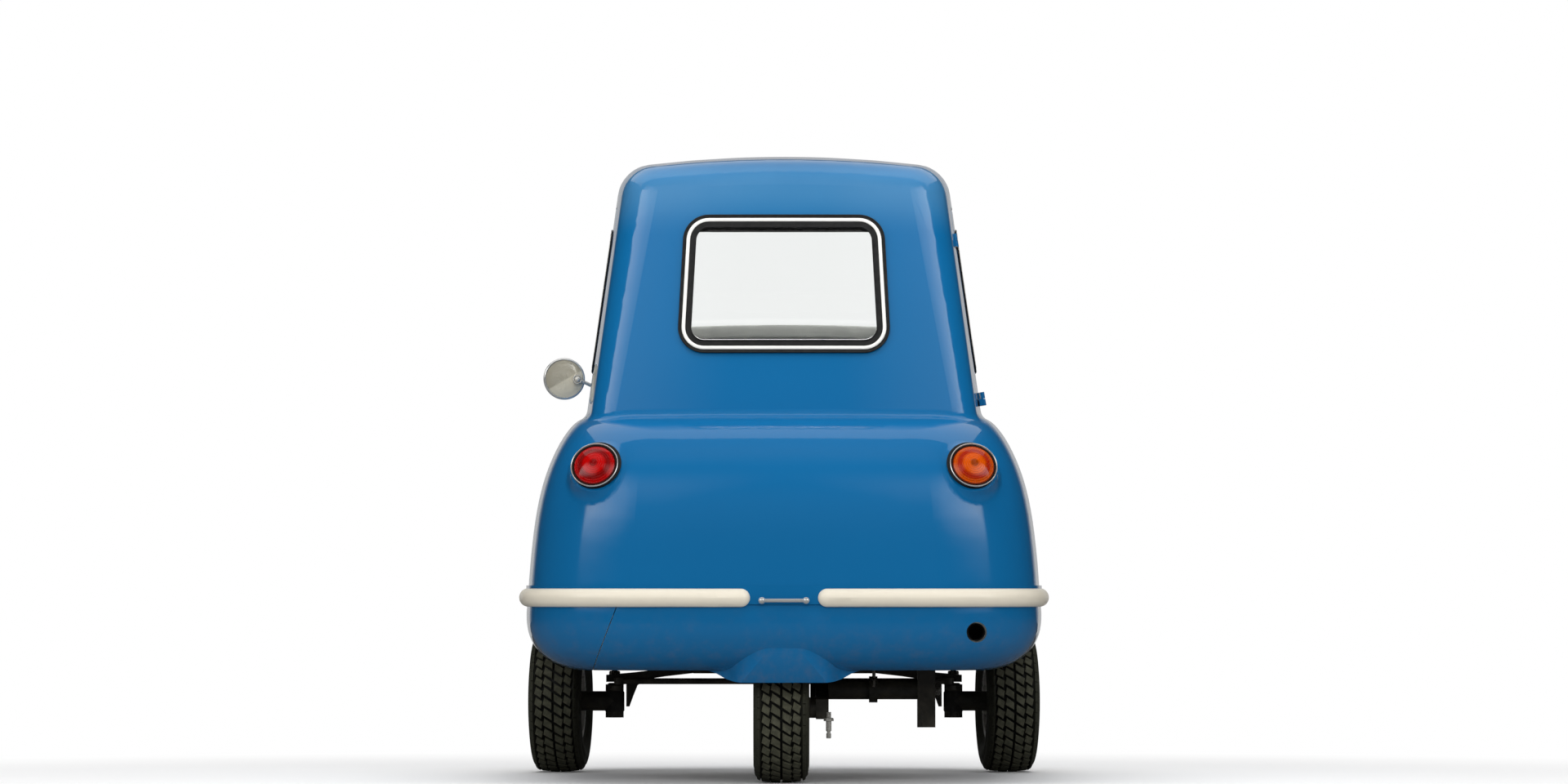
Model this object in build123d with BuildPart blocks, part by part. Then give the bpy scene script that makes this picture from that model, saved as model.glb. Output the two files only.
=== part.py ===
from build123d import *
import math
import os

# Three wheeled microcar: two steered wheels in front, one wheel behind, one door.
# Millimetres. +Y is forward, +X is the car's right, +Z is up, and Z = 0 is the road.

os.makedirs("parts", exist_ok=True)

# ---------------------------------------------------------------- driving dimensions
WALL = 8.0                # glass fibre skin
SPLIT_Z = 354.0           # joint between the upper and the lower moulding
BELT_LOW, BELT_HIGH = 336.0, 371.0
BELT_PROUD = 3.0
ROOF_Z = 1198.0
ROOF_CENTRE_Y = -60.0
ROOF_CROWN_R = 2200.0
ROOF_EDGE_R = 68.0
SHOULDER_R = 22.0
FLOOR_Z = 212.0

TYRE_R, TYRE_W = 141.0, 105.0
RIM_R = 70.0
FRONT_X, FRONT_Y = 445.0, 400.0
REAR_X, REAR_Y = -5.0, -460.0
TOE_DEG = 5.0
KINGPIN_REACH = 108.0     # from the kingpin to the middle of the tyre
KINGPIN_X = FRONT_X - KINGPIN_REACH * math.cos(math.radians(TOE_DEG))
KINGPIN_Y = FRONT_Y - KINGPIN_REACH * math.sin(math.radians(TOE_DEG))
STUB_R, HUB_BORE_R, HUB_R = 8.0, 8.4, 22.0

ARCH_R, ARCH_TOP_Z, ARCH_INNER_X = 197.0, 333.0, 286.0
WELL_R, WELL_HALF = 160.0, 72.0
FAIRING_Z, FAIRING_HALF, FAIRING_BLEND = 190.0, 76.0, 84.0

BUMPER_R = 17.5
BUMPER_Z = 348.0
BUMPER_END_X = 80.0       # centre of each round inner end
BUMPER_SIDE_Y = 250.0     # how far the ends reach along the sides

DOOR_GAP = 7.0
PANEL_GAP = 3.0
HINGE_Y = -264.0
HINGE_LOW = (379.0, 727.0)    # x, z of the lower knuckle
HINGE_TOP = (326.5, 1030.0)   # x, z of the upper knuckle
HINGE_R, HINGE_HALF = 5.5, 13.0

SEAL_LIP, SEAL_IN, SEAL_BACK = 9.0, 16.0, 12.0
END_PROUD, SIDE_PROUD = 5.0, 2.0      # how far the seals stand out of the skin
GLASS_BACK = 5.0

LAMP_R, LAMP_TILT, LAMP_YAW, LAMP_SHANK = 48.0, 26.0, 12.0, 3.4
POD_BLEND = 28.0          # blend of the lamps' blisters into the body
LAMP_AT = (352.0, -612.0, 592.0)
HEADLAMP_R = 72.0
HEADLAMP_Y, HEADLAMP_Z = 665.0, 525.0
EXHAUST_X, EXHAUST_Z, EXHAUST_R = 358.5, 284.0, 19.0
BELT_SECTION = (494.0, -668.0, 668.0, 205.0, 215.0)
STRAP_LENGTH, STRAP_T, STRAP_IN = 48.0, 9.0, 3.5
FAIRING_TOP_Z, FAIRING_REAR_Y = 262.0, -657.0
HANDLE_HALF, HANDLE_Y, HANDLE_Z = 41.0, -678.0, 343.0
INDICATOR_AT = (323.0, 601.0, 579.0)
MIRROR_ROOT, MIRROR_BALL = (-361.0, 318.0, 760.0), (-408.5, 310.6, 779.4)
MIRROR_DISC, MIRROR_FACE, MIRROR_R = (-436.0, 292.0, 780.0), (0.16, -0.98, 0.05), 41.0
WIPER_PIVOT, WIPER_TIP = (-70.0, 842.0), (62.0, 869.0)            # x, z
WIPER_BLADE_LOW, WIPER_BLADE_HIGH = (-34.0, 866.0), (158.0, 871.0)

SEAT_W, SEAT_REAR_Y, SEAT_FRONT_Y = 420.0, -215.0, 165.0
SEAT_TOP_Z, SEAT_CUSHION = 392.0, 88.0
SEAT_BACK_H, SEAT_BACK_T = 350.0, 62.0
DASH_HALF, DASH_Y, DASH_Z, DASH_GAUGE_X = 300.0, 318.0, 704.0, 0.0
WHEEL_CENTRE, COLUMN_FOOT, WHEEL_RIM_R = (0.0, 150.0, 610.0), (0.0, 330.0, 420.0), 150.0
ENGINE_AT, ENGINE_SIZE = (-215.0, -430.0, 312.0), (210.0, 230.0, 176.0)
TAIL_PIPE_REAR_Y, TAIL_PIPE_FRONT_Y = -604.0, -480.0

BEAD_HALF, DISC_X = 38.0, 12.0
# Arcs of the tyre's side from bead to tread: how far inside its half width, and the radius, at three points
TYRE_SIDE = [
    ((TYRE_W / 2 - BEAD_HALF, RIM_R + 9), (2.0, RIM_R + 22), (0.0, RIM_R + 37)),
    ((0.0, RIM_R + 37), (1.0, RIM_R + 50), (6.0, TYRE_R - 9)),
    ((6.0, TYRE_R - 9), (9.0, TYRE_R - 5), (14.0, TYRE_R - 3)),
]
UPRIGHT_R, UPRIGHT_LOW_Z, UPRIGHT_TOP_Z = 18.0, TYRE_R - 33, TYRE_R + 33
UPRIGHT_MID_Z = (UPRIGHT_LOW_Z + UPRIGHT_TOP_Z) / 2
ARM_Z, ARM_LENGTH, ARM_IN = 164.0, 62.0, 10.0
# Front arm seen from behind: it holds the kingpin from above, with a gusset beside the upright, x, z
YOKE_PROFILE = [
    (354.0, 179.0), (354.0, 193.0), (298.0, 198.0), (240.0, 205.0), (176.0, 211.0), (176.0, 197.0),
    (236.0, 190.0), (262.0, 186.0), (280.0, 180.0), (292.0, 172.0), (300.0, 152.0), (308.0, 130.0),
    (314.0, 130.0), (314.0, 179.0),
]
YOKE_W = 34.0
PIVOT_X, PIVOT_Y, PIVOT_Z = (50.0, 256.0), -285.0, 173.0
HANGER_X, HANGER_Z, TRAIL_X = (254.0, 288.0), 101.0, 60.0

# How the inner edge of the door is cut back round the hinge axis: height, radius
DOOR_BEVEL = [
    (692.0, 8.0), (684.0, 12.0), (655.0, 42.0), (620.0, 71.0), (580.0, 88.0),
    (540.0, 90.0), (500.0, 90.0), (450.0, 89.0), (400.0, 86.0), (380.0, 85.0),
]

# Body sections: height, half width, rear, front, rear corner radius, front corner radius
LOWER_SECTIONS = [
    (372.0, 492.0, -667.0, 667.0, 205.0, 215.0),
    (303.0, 496.0, -669.0, 669.0, 205.0, 215.0),
    (262.0, 485.0, -661.0, 661.0, 200.0, 210.0),
    (234.0, 461.0, -639.0, 641.0, 185.0, 195.0),
    (FLOOR_Z, 408.0, -591.0, 597.0, 150.0, 160.0),
]
UPPER_SECTIONS = [
    (330.0, 494.5, -668.0, 668.0, 205.0, 215.0),
    (390.0, 491.0, -666.5, 665.5, 204.0, 214.0),
    (450.0, 485.5, -663.0, 660.0, 203.0, 212.0),
    (540.0, 471.5, -651.0, 645.0, 196.0, 204.0),
    (610.0, 449.5, -623.0, 615.0, 180.0, 190.0),
    (655.0, 426.5, -585.0, 577.0, 160.0, 170.0),
    (684.0, 402.5, -527.0, 517.0, 130.0, 140.0),
    (703.0, 362.0, -410.0, 410.0, 90.0, 100.0),
]
CABIN_SECTIONS = [
    (600.0, 395.0, -523.0, 464.5, 46.0, 60.0),
    (1240.0, 304.5, -357.0, 179.5, 84.0, 90.0),
]
TUB_BOW = (32.0, 27.0, 42.0)      # how far side, rear and front swell outwards
CABIN_BOW = (22.0, 18.0, 16.0)

# Door outline seen from the side: y, z, corner radius, from the top of the hinge edge
DOOR_OUTLINE = [
    (-267.0, 1096.0, 58.0),
    (-267.0, 690.0, 60.0),
    (-200.0, 598.0, 70.0),
    (-200.0, 396.0, 46.0),
    (262.0, 396.0, 80.0),
    (316.0, 690.0, 90.0),
    (148.0, 1096.0, 62.0),
]
SIDE_WINDOW = [
    (-206.0, 1046.0, 42.0),
    (-206.0, 790.0, 42.0),
    (212.0, 790.0, 46.0),
    (104.0, 1046.0, 52.0),
]
# Flat windows seen from behind: half width at the foot and at the head, z low, z high, radius
REAR_WINDOW = (193.0, 180.0, 818.0, 1064.0, 40.0)
WINDSCREEN = (262.0, 246.0, 868.0, 1086.0, 50.0)
ENGINE_PANEL = [(-309.0, 335.0), (-362.0, 200.0), (-520.0, 200.0), (-520.0, 335.0)]
ENGINE_PANEL_FRONT_Y = -330.0


def save(part, name):
    part.label = name
    export_step(part, f"parts/{name}.step")


# ---------------------------------------------------------------- body forms
def outline(z, half, rear, front, rear_r, front_r, bow, inset):
    """Plan of the body at one height: four bowed sides and four round corners."""
    side_bow, rear_bow, front_bow = bow
    half, rear, front = half - inset, rear + inset, front - inset
    corner_x = half - side_bow
    corner_rear, corner_front = rear + rear_bow, front - front_bow
    middle = (corner_rear + corner_front) / 2
    with BuildSketch(Plane.XY.offset(z)) as plan:
        with BuildLine():
            ThreePointArc((-corner_x, corner_rear), (0, rear), (corner_x, corner_rear))
            ThreePointArc((corner_x, corner_rear), (half, middle), (corner_x, corner_front))
            ThreePointArc((corner_x, corner_front), (0, front), (-corner_x, corner_front))
            ThreePointArc((-corner_x, corner_front), (-half, middle), (-corner_x, corner_rear))
        make_face()
        fillet(plan.vertices().group_by(Axis.Y)[0], rear_r - inset)
        fillet(plan.vertices().group_by(Axis.Y)[-1], front_r - inset)
    return plan.sketch.faces()[0]


def tub_form(sections, inset):
    """Loft of the tub. An inset form also draws in its closed end, so the skin stays even."""
    first, last = sections[0][0], sections[-1][0]
    faces = []
    for z, *shape in sections:
        drop = inset * (z - first) / (last - first)
        level = z - math.copysign(drop, last - first) if inset > 0 else z
        faces.append(outline(level, *shape, TUB_BOW, inset))
    with BuildPart() as form:
        loft(faces)
    return form.part


def cabin_form(inset):
    with BuildPart() as form:
        loft([outline(*section, CABIN_BOW, inset) for section in CABIN_SECTIONS])
        with Locations((0, ROOF_CENTRE_Y, ROOF_Z - inset - ROOF_CROWN_R)):
            Sphere(ROOF_CROWN_R, mode=Mode.INTERSECT)
        rim = form.faces().sort_by(Axis.Z)[-1].edges()
        fillet(rim, ROOF_EDGE_R - inset)
    return form.part


def cabin_skin(outer, inner):
    """Layer of the cabin's sides between two insets, for seals and glass."""
    with BuildPart() as skin:
        loft([outline(*section, CABIN_BOW, outer) for section in CABIN_SECTIONS])
        loft([outline(*section, CABIN_BOW, inner) for section in CABIN_SECTIONS], mode=Mode.SUBTRACT)
    return skin.part


def rounded(plane, points, grow=0.0):
    """Face from a table of corners with radii, grown or shrunk on all sides."""
    with BuildSketch(plane) as shape:
        with BuildLine():
            Polyline([(a, b) for a, b, r in points], close=True)
        make_face()
        for a, b, r in points:
            corner = shape.vertices().sort_by_distance((a, b, 0))[0]
            fillet(corner, r)
        if grow:
            offset(amount=grow, kind=Kind.ARC)
    return shape.sketch.faces()[0]


def window_points(window):
    foot, head, low, high, radius = window
    return [(-foot, low, radius), (foot, low, radius), (head, high, radius), (-head, high, radius)]


def side_plane(sign):
    """Plane across the car with local x forward and local y up, its normal to one side."""
    return Plane(origin=(sign * 200, 0, 0), x_dir=(0, 1, 0), z_dir=(1, 0, 0))


SIDE = {"left": -1, "right": 1}
SIDE_REACH = 400.0
END_PLANE = Plane(origin=(0, 0, 0), x_dir=(1, 0, 0), z_dir=(0, -1, 0))

upper_outer = tub_form(UPPER_SECTIONS, 0)
upper_inner = tub_form(UPPER_SECTIONS, WALL)
lower_outer = tub_form(LOWER_SECTIONS, 0)
lower_inner = tub_form(LOWER_SECTIONS, WALL)
upper_grown = tub_form(UPPER_SECTIONS, -0.6)
cabin_outer = cabin_form(0)
cabin_inner = cabin_form(WALL)


def prism(face, reach):
    with BuildPart() as solid:
        extrude(face, amount=reach)
    return solid.part


def lamp_plane(side):
    tilt, yaw = math.radians(LAMP_TILT), math.radians(LAMP_YAW)
    origin = (SIDE[side] * LAMP_AT[0], LAMP_AT[1], LAMP_AT[2])
    aim = (SIDE[side] * math.sin(yaw) * math.cos(tilt), -math.cos(yaw) * math.cos(tilt), math.sin(tilt))
    return Plane(origin=origin, z_dir=aim)


def rod(start, end, radius, end_radius=None):
    """Straight round bar between two points, tapered when a second radius is given."""
    along = Vector(*end) - Vector(*start)
    with BuildPart(Plane(origin=start, z_dir=along)) as bar:
        if end_radius is None:
            Cylinder(radius, along.length, align=(Align.CENTER, Align.CENTER, Align.MIN))
        else:
            Cone(radius, end_radius, along.length, align=(Align.CENTER, Align.CENTER, Align.MIN))
    return bar.part


def lamp_pod(side):
    """Blister that fairs a tail lamp into the rounded rear corner."""
    with BuildPart(lamp_plane(side).offset(-4)) as pod:
        Cone(LAMP_R + 30, LAMP_R + 1, 90, align=(Align.CENTER, Align.CENTER, Align.MAX))
    return pod.part


def round_lamp_pod(edge):
    """Whether an edge is where a blister runs into the body."""
    for side in SIDE:
        at = lamp_plane(side).to_local_coords(edge.center())
        if math.hypot(at.X, at.Y) < LAMP_R + 47 and -80 < at.Z < -6 and edge.geom_type == GeomType.BSPLINE:
            return True
    return False


with BuildPart() as body_outer:
    add(upper_outer)
    add(cabin_outer)
    shoulder = body_outer.edges().filter_by(lambda e: 672 < e.center().Z < 700)
    fillet(shoulder, SHOULDER_R)
    for side in SIDE:
        add(lamp_pod(side))
    fillet(body_outer.edges().filter_by(round_lamp_pod), POD_BLEND)
    add(rod((0, 520, HEADLAMP_Z), (0, HEADLAMP_Y - 4, HEADLAMP_Z), HEADLAMP_R + 22, HEADLAMP_R + 1))

with BuildPart() as body_inner:
    add(upper_inner)
    add(cabin_inner)

with BuildPart() as skin:
    add(body_outer.part)
    add(body_inner.part, mode=Mode.SUBTRACT)

door_hole = {}
glass_hole = {}
for side, sign in SIDE.items():
    door_hole[side] = prism(rounded(side_plane(sign), DOOR_OUTLINE), sign * SIDE_REACH)
    glass_hole[side] = prism(rounded(side_plane(sign), SIDE_WINDOW), sign * SIDE_REACH)

hinge_low = Vector(HINGE_LOW[0], HINGE_Y, HINGE_LOW[1])
hinge_top = Vector(HINGE_TOP[0], HINGE_Y, HINGE_TOP[1])
hinge_axis = (hinge_top - hinge_low).normalized()


def hinge_plane(point):
    """Across the hinge axis: local x forward, local y inboard, local z up the axis."""
    return Plane(origin=point, x_dir=(0, 1, 0), z_dir=hinge_axis)


def hinge_room():
    """Space that the knuckles need in both skins."""
    with BuildPart() as room:
        for point in (hinge_low, hinge_top):
            add(prism_on(hinge_plane(point), HINGE_R + 1.6, -HINGE_HALF - 1, HINGE_HALF + 1))
    return room.part


def prism_on(plane, radius, low, high):
    with BuildPart(plane.offset(low)) as barrel:
        Cylinder(radius, high - low, align=(Align.CENTER, Align.CENTER, Align.MIN))
    return barrel.part


def hinge_leaf(direction):
    """Half knuckles with their straps: -1 is the body's, below and to the rear, +1 is the door's."""
    low, high = (0.5, HINGE_HALF) if direction > 0 else (-HINGE_HALF, -0.5)
    with BuildPart() as leaf:
        for point in (hinge_low, hinge_top):
            plane = hinge_plane(point)
            add(prism_on(plane, HINGE_R, low, high))
            with BuildSketch(plane.offset(low)):
                with Locations((direction * STRAP_LENGTH / 2, STRAP_IN)):
                    Rectangle(STRAP_LENGTH, STRAP_T)
            extrude(amount=high - low)
    return leaf.part


# ---------------------------------------------------------------- upper moulding
with BuildPart() as upper_body:
    add(skin.part)
    split(bisect_by=Plane.XY.offset(SPLIT_Z + 0.5), keep=Keep.TOP)
    for side in SIDE:
        add(door_hole[side], mode=Mode.SUBTRACT)
    add(prism(rounded(END_PLANE, window_points(REAR_WINDOW)), 700), mode=Mode.SUBTRACT)
    add(prism(rounded(END_PLANE, window_points(WINDSCREEN)), -700), mode=Mode.SUBTRACT)
    add(hinge_room(), mode=Mode.SUBTRACT)
    add(hinge_leaf(-1))
save(upper_body.part, "upper_body")

# ---------------------------------------------------------------- door and left side panel
with BuildPart() as side_panel_left:
    add(skin.part)
    add(prism(rounded(side_plane(-1), DOOR_OUTLINE, -PANEL_GAP), -SIDE_REACH), mode=Mode.INTERSECT)
    add(glass_hole["left"], mode=Mode.SUBTRACT)
save(side_panel_left.part, "side_panel_left")

with BuildPart() as bevel:
    bevel_plane = Plane(origin=hinge_low, x_dir=(0, 1, 0), z_dir=Vector(0, 1, 0).cross(hinge_axis))
    with BuildSketch(bevel_plane):
        with BuildLine():
            steps = [((z - HINGE_LOW[1]) / hinge_axis.Z, r) for z, r in DOOR_BEVEL]
            Polyline([(0, steps[0][0])] + [(r, s) for s, r in steps] + [(0, steps[-1][0])], close=True)
        make_face()
    revolve(axis=Axis(hinge_low, hinge_axis))

with BuildPart() as door:
    add(skin.part)
    add(prism(rounded(side_plane(1), DOOR_OUTLINE, -DOOR_GAP), SIDE_REACH), mode=Mode.INTERSECT)
    add(glass_hole["right"], mode=Mode.SUBTRACT)
    add(bevel.part, mode=Mode.SUBTRACT)
    add(hinge_room(), mode=Mode.SUBTRACT)
    add(hinge_leaf(1))
save(door.part, "door")


# ---------------------------------------------------------------- glazing
def seal(plane, points, reach, proud):
    """Rubber section: a lip outside the panel and a web through its hole, which holds the glass."""
    outer = prism(rounded(plane, points, SEAL_LIP), reach)
    hole = prism(rounded(plane, points, -0.6), reach)
    bore = prism(rounded(plane, points, -SEAL_IN), reach)
    with BuildPart() as lip:
        add(cabin_skin(-proud, -0.6))
        add(outer, mode=Mode.INTERSECT)
    with BuildPart() as ring:
        add(cabin_skin(-proud, SEAL_BACK))
        add(hole, mode=Mode.INTERSECT)
        add(lip.part)
        add(bore, mode=Mode.SUBTRACT)
    return ring.part


def pane(plane, points, reach):
    with BuildPart() as glass:
        add(cabin_skin(0, GLASS_BACK))
        add(prism(rounded(plane, points, -SEAL_IN - 0.4), reach), mode=Mode.INTERSECT)
    return glass.part


WINDOWS = {
    "rear_window": (END_PLANE, window_points(REAR_WINDOW), 700),
    "windscreen": (END_PLANE, window_points(WINDSCREEN), -700),
    "side_window_left": (side_plane(-1), SIDE_WINDOW, -SIDE_REACH),
    "side_window_right": (side_plane(1), SIDE_WINDOW, SIDE_REACH),
}
for name, window in WINDOWS.items():
    save(seal(*window, SIDE_PROUD if name.startswith("side") else END_PROUD), f"{name}_seal")
    save(pane(*window), f"{name}_glass")

# ---------------------------------------------------------------- lower moulding
with BuildPart() as fairing:
    with BuildSketch(Plane.XZ):
        with BuildLine():
            full, flat = FAIRING_HALF + FAIRING_BLEND, FAIRING_HALF
            drop = FLOOR_Z + 2 - FAIRING_Z
            for sign in (-1, 1):
                half_way = (sign * (full + flat) / 2, FLOOR_Z + 2 - drop / 2)
                upper = TangentArc((sign * full, FLOOR_Z + 2), half_way, tangent=(-sign, 0))
                TangentArc(upper @ 1, (sign * flat, FAIRING_Z), tangent=upper % 1)
            Line((-flat, FAIRING_Z), (flat, FAIRING_Z))
            Polyline((-full, FLOOR_Z + 2), (-full, FAIRING_TOP_Z), (full, FAIRING_TOP_Z), (full, FLOOR_Z + 2))
        make_face()
    extrude(amount=-FAIRING_REAR_Y)
    with BuildSketch(Plane.XY.offset(FAIRING_Z - 1)):
        with BuildLine():
            deep, shallow = FAIRING_REAR_Y, FAIRING_REAR_Y + FAIRING_BLEND
            near, wide = flat - 52, full + 6
            for sign in (-1, 1):
                swell = TangentArc((sign * near, deep), (sign * (wide + near) / 2, (deep + shallow) / 2),
                                   tangent=(sign, 0))
                TangentArc(swell @ 1, (sign * wide, shallow), tangent=swell % 1)
            Line((-near, deep), (near, deep))
            Polyline((-wide, shallow), (-wide, -500), (wide, -500), (wide, shallow))
        make_face()
    extrude(amount=FAIRING_TOP_Z - FAIRING_Z + 2, mode=Mode.INTERSECT)
    with BuildSketch(Plane.YZ.offset(-full)):
        with BuildLine():
            low_corner = (FAIRING_REAR_Y + 22, FAIRING_Z)
            ThreePointArc((FAIRING_REAR_Y, FAIRING_TOP_Z), (FAIRING_REAR_Y + 4, 226), low_corner)
            Polyline((FAIRING_REAR_Y + 22, FAIRING_Z), (-500, FAIRING_Z), (-500, FAIRING_TOP_Z),
                     (FAIRING_REAR_Y, FAIRING_TOP_Z))
        make_face()
    extrude(amount=2 * full, mode=Mode.INTERSECT)


def drum(x_from, x_to, y, z, radius, top=1000.0):
    """Wheel shaped space along X, cut flat at the top."""
    with BuildPart(Plane(origin=(x_from, y, z), z_dir=(1, 0, 0))) as space:
        Cylinder(radius, x_to - x_from, align=(Align.CENTER, Align.CENTER, Align.MIN))
        split(bisect_by=Plane.XY.offset(top), keep=Keep.BOTTOM)
    return space.part


def belt(low, high, outer, inner):
    with BuildPart() as band:
        extrude(outline(low, *BELT_SECTION, TUB_BOW, -outer), amount=high - low)
        if inner is not None:
            extrude(outline(low, *BELT_SECTION, TUB_BOW, -inner), amount=high - low, mode=Mode.SUBTRACT)
    return band.part


with BuildPart() as lower_form:
    add(lower_outer)
    add(fairing.part)

def wheel_room(grow):
    """The two arches and the rear wheel's well, grown for the skin round them."""
    top, reach = ARCH_TOP_Z + grow, 560.0
    with BuildPart() as room:
        add(drum(ARCH_INNER_X - grow, reach, FRONT_Y, TYRE_R, ARCH_R + grow, top))
        add(drum(-reach, grow - ARCH_INNER_X, FRONT_Y, TYRE_R, ARCH_R + grow, top))
        add(drum(REAR_X - WELL_HALF - grow, REAR_X + WELL_HALF + grow, REAR_Y, TYRE_R, WELL_R + grow))
    return room.part


with BuildPart() as wells:
    add(wheel_room(WALL))
    add(lower_form.part, mode=Mode.INTERSECT)

with BuildPart() as lower_shell:
    add(lower_form.part)
    add(lower_inner, mode=Mode.SUBTRACT)
    add(wells.part)
    add(wheel_room(0.0), mode=Mode.SUBTRACT)
    add(rod((EXHAUST_X, -700, EXHAUST_Z), (EXHAUST_X, -500, EXHAUST_Z), EXHAUST_R), mode=Mode.SUBTRACT)
    split(bisect_by=Plane.XY.offset(SPLIT_Z - 0.5), keep=Keep.BOTTOM)

panel_plane = Plane(origin=(0, -700, 0), x_dir=(1, 0, 0), z_dir=(0, -1, 0))
with BuildPart() as panel_region:
    with BuildSketch(panel_plane):
        Polygon(*ENGINE_PANEL, align=None)
    extrude(amount=-(700 + ENGINE_PANEL_FRONT_Y))
with BuildPart() as panel_keep:
    with BuildSketch(panel_plane):
        Polygon(*ENGINE_PANEL, align=None)
        offset(amount=-1.5)
    extrude(amount=-(700 + ENGINE_PANEL_FRONT_Y - 3))

with BuildPart() as engine_panel:
    add(lower_shell.part)
    add(panel_keep.part, mode=Mode.INTERSECT)
save(engine_panel.part, "engine_panel")

with BuildPart() as belt_lip:
    add(belt(SPLIT_Z - 0.5, BELT_HIGH, BELT_PROUD, None))
    add(upper_grown, mode=Mode.SUBTRACT)

with BuildPart() as lower_body:
    add(lower_shell.part)
    add(panel_region.part, mode=Mode.SUBTRACT)
    add(belt(BELT_LOW, SPLIT_Z - 0.5, BELT_PROUD, -4))
    add(belt_lip.part)
save(lower_body.part, "lower_body")

# ---------------------------------------------------------------- bumpers and outside fittings
bumper_out = BUMPER_R - 1.0
with BuildPart() as bumper_ring:
    extrude(outline(BUMPER_Z - BUMPER_R, *BELT_SECTION, TUB_BOW, -bumper_out), amount=2 * BUMPER_R)
    rims = [face.edges() for face in bumper_ring.faces().filter_by(Axis.Z)]
    fillet(rims[0] + rims[1], BUMPER_R - 0.2)
belt_room = belt(BELT_LOW - 30, BELT_HIGH + 30, BELT_PROUD + 0.4, None)


def bow_at(half_chord, bow, along):
    """How far a bowed side falls back at a distance along it from its middle."""
    return bow * (along / half_chord) ** 2


def bumper(y_sign):
    """Left hand strip of one end: half round, with a ball at each end."""
    half, rear, front, rear_r, front_r = BELT_SECTION
    end_bow = TUB_BOW[1] if y_sign < 0 else TUB_BOW[2]
    reach = front - 1.0 - bow_at(half - TUB_BOW[0], end_bow, BUMPER_END_X)
    side_half = front - (TUB_BOW[1] + TUB_BOW[2]) / 2
    side_x = half - 1.0 - bow_at(side_half, TUB_BOW[0], BUMPER_SIDE_Y)
    with BuildPart() as strip:
        add(bumper_ring.part)
        with Locations((-BUMPER_END_X - 300, y_sign * (BUMPER_SIDE_Y + 300), BUMPER_Z)):
            Box(600, 600, 60, mode=Mode.INTERSECT)
        with Locations((-BUMPER_END_X, y_sign * reach, BUMPER_Z)):
            Sphere(BUMPER_R)
        with Locations((-side_x, y_sign * BUMPER_SIDE_Y, BUMPER_Z)):
            Sphere(BUMPER_R)
        add(belt_room, mode=Mode.SUBTRACT)
    return strip.part


for end, y_sign in (("rear", -1), ("front", 1)):
    strip = bumper(y_sign)
    save(strip, f"bumper_{end}_left")
    save(mirror(strip, about=Plane.YZ), f"bumper_{end}_right")

with BuildPart() as rear_handle:
    add(rod((-HANDLE_HALF, HANDLE_Y, HANDLE_Z), (HANDLE_HALF, HANDLE_Y, HANDLE_Z), 3.5))
    for x in (-HANDLE_HALF, HANDLE_HALF):
        with Locations((x, HANDLE_Y, HANDLE_Z)):
            Sphere(6.5)
        add(rod((x, HANDLE_Y, HANDLE_Z), (x, HANDLE_Y + 6.7, HANDLE_Z), 4.5))
save(rear_handle.part, "rear_handle")


def round_lamp(plane, radius, depth, dome):
    """Bezel with two rings and a domed lens, on a shank that ends at the body."""
    with BuildPart() as lamp:
        with BuildSketch(Plane.XZ) as profile:
            with BuildLine():
                Polyline((0, -depth), (radius - 4, -depth), (radius - 4, 0), (radius, 0))
                ThreePointArc((radius, 0), (radius - 1, 5), (radius - 5, 7))
                ThreePointArc((radius - 5, 7), (radius - 6.5, 10), (radius - 9, 9))
                Line((radius - 9, 9), (radius - 10, 5))
                TangentArc((0, dome), (radius - 10, 5), tangent=(1, 0))
                Line((0, dome), (0, -depth))
            make_face()
        revolve(axis=Axis.Z)
    return plane.location * lamp.part


for side in SIDE:
    with BuildPart() as tail_lamp:
        add(round_lamp(lamp_plane(side), LAMP_R, LAMP_SHANK, 19.0))
        add(upper_grown, mode=Mode.SUBTRACT)
    save(tail_lamp.part, f"tail_lamp_{side}")
headlamp_plane = Plane(origin=(0, HEADLAMP_Y, HEADLAMP_Z), x_dir=(1, 0, 0), z_dir=(0, 1, 0))
save(round_lamp(headlamp_plane, HEADLAMP_R, LAMP_SHANK, 19.0), "headlamp")
for side, sign in SIDE.items():
    plane = Plane(origin=(sign * INDICATOR_AT[0], INDICATOR_AT[1], INDICATOR_AT[2]),
                  x_dir=(1, 0, 0), z_dir=(sign * 0.35, 0.90, 0.26))
    with BuildPart() as indicator:
        add(round_lamp(plane, 24.0, 45.0, 13.0))
        add(upper_grown, mode=Mode.SUBTRACT)
    save(indicator.part, f"indicator_{side}")

mirror_reach = Vector(*MIRROR_BALL) - Vector(*MIRROR_ROOT)
with BuildPart(Plane(origin=MIRROR_ROOT, z_dir=mirror_reach)) as mirror_stem:
    Cylinder(3.0, mirror_reach.length, align=(Align.CENTER, Align.CENTER, Align.MIN))
    with Locations((0, 0, mirror_reach.length)):
        Sphere(6.5)
with BuildPart(Plane(origin=MIRROR_ROOT, z_dir=(-1, 0.09, 0.14))) as mirror_foot:
    Cylinder(11, 5)
with BuildPart() as mirror_arm:
    add(mirror_stem.part)
    add(mirror_foot.part)
save(mirror_arm.part, "mirror_arm")

with BuildPart() as mirror_head:
    with BuildSketch(Plane.XZ):
        with BuildLine():
            Polyline((0, 5), (MIRROR_R - 4, 5), (MIRROR_R - 3, 7))
            ThreePointArc((MIRROR_R - 3, 7), (MIRROR_R, 5), (MIRROR_R - 1, 0))
            TangentArc((0, -13), (MIRROR_R - 1, 0), tangent=(1, 0))
            Line((0, -13), (0, 5))
        make_face()
    revolve(axis=Axis.Z)
save(Plane(origin=MIRROR_DISC, z_dir=MIRROR_FACE).location * mirror_head.part, "mirror_head")

screen_foot, screen_head = CABIN_SECTIONS
glass_slope = math.atan2(screen_foot[3] - screen_head[3], screen_head[0] - screen_foot[0])


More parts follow.
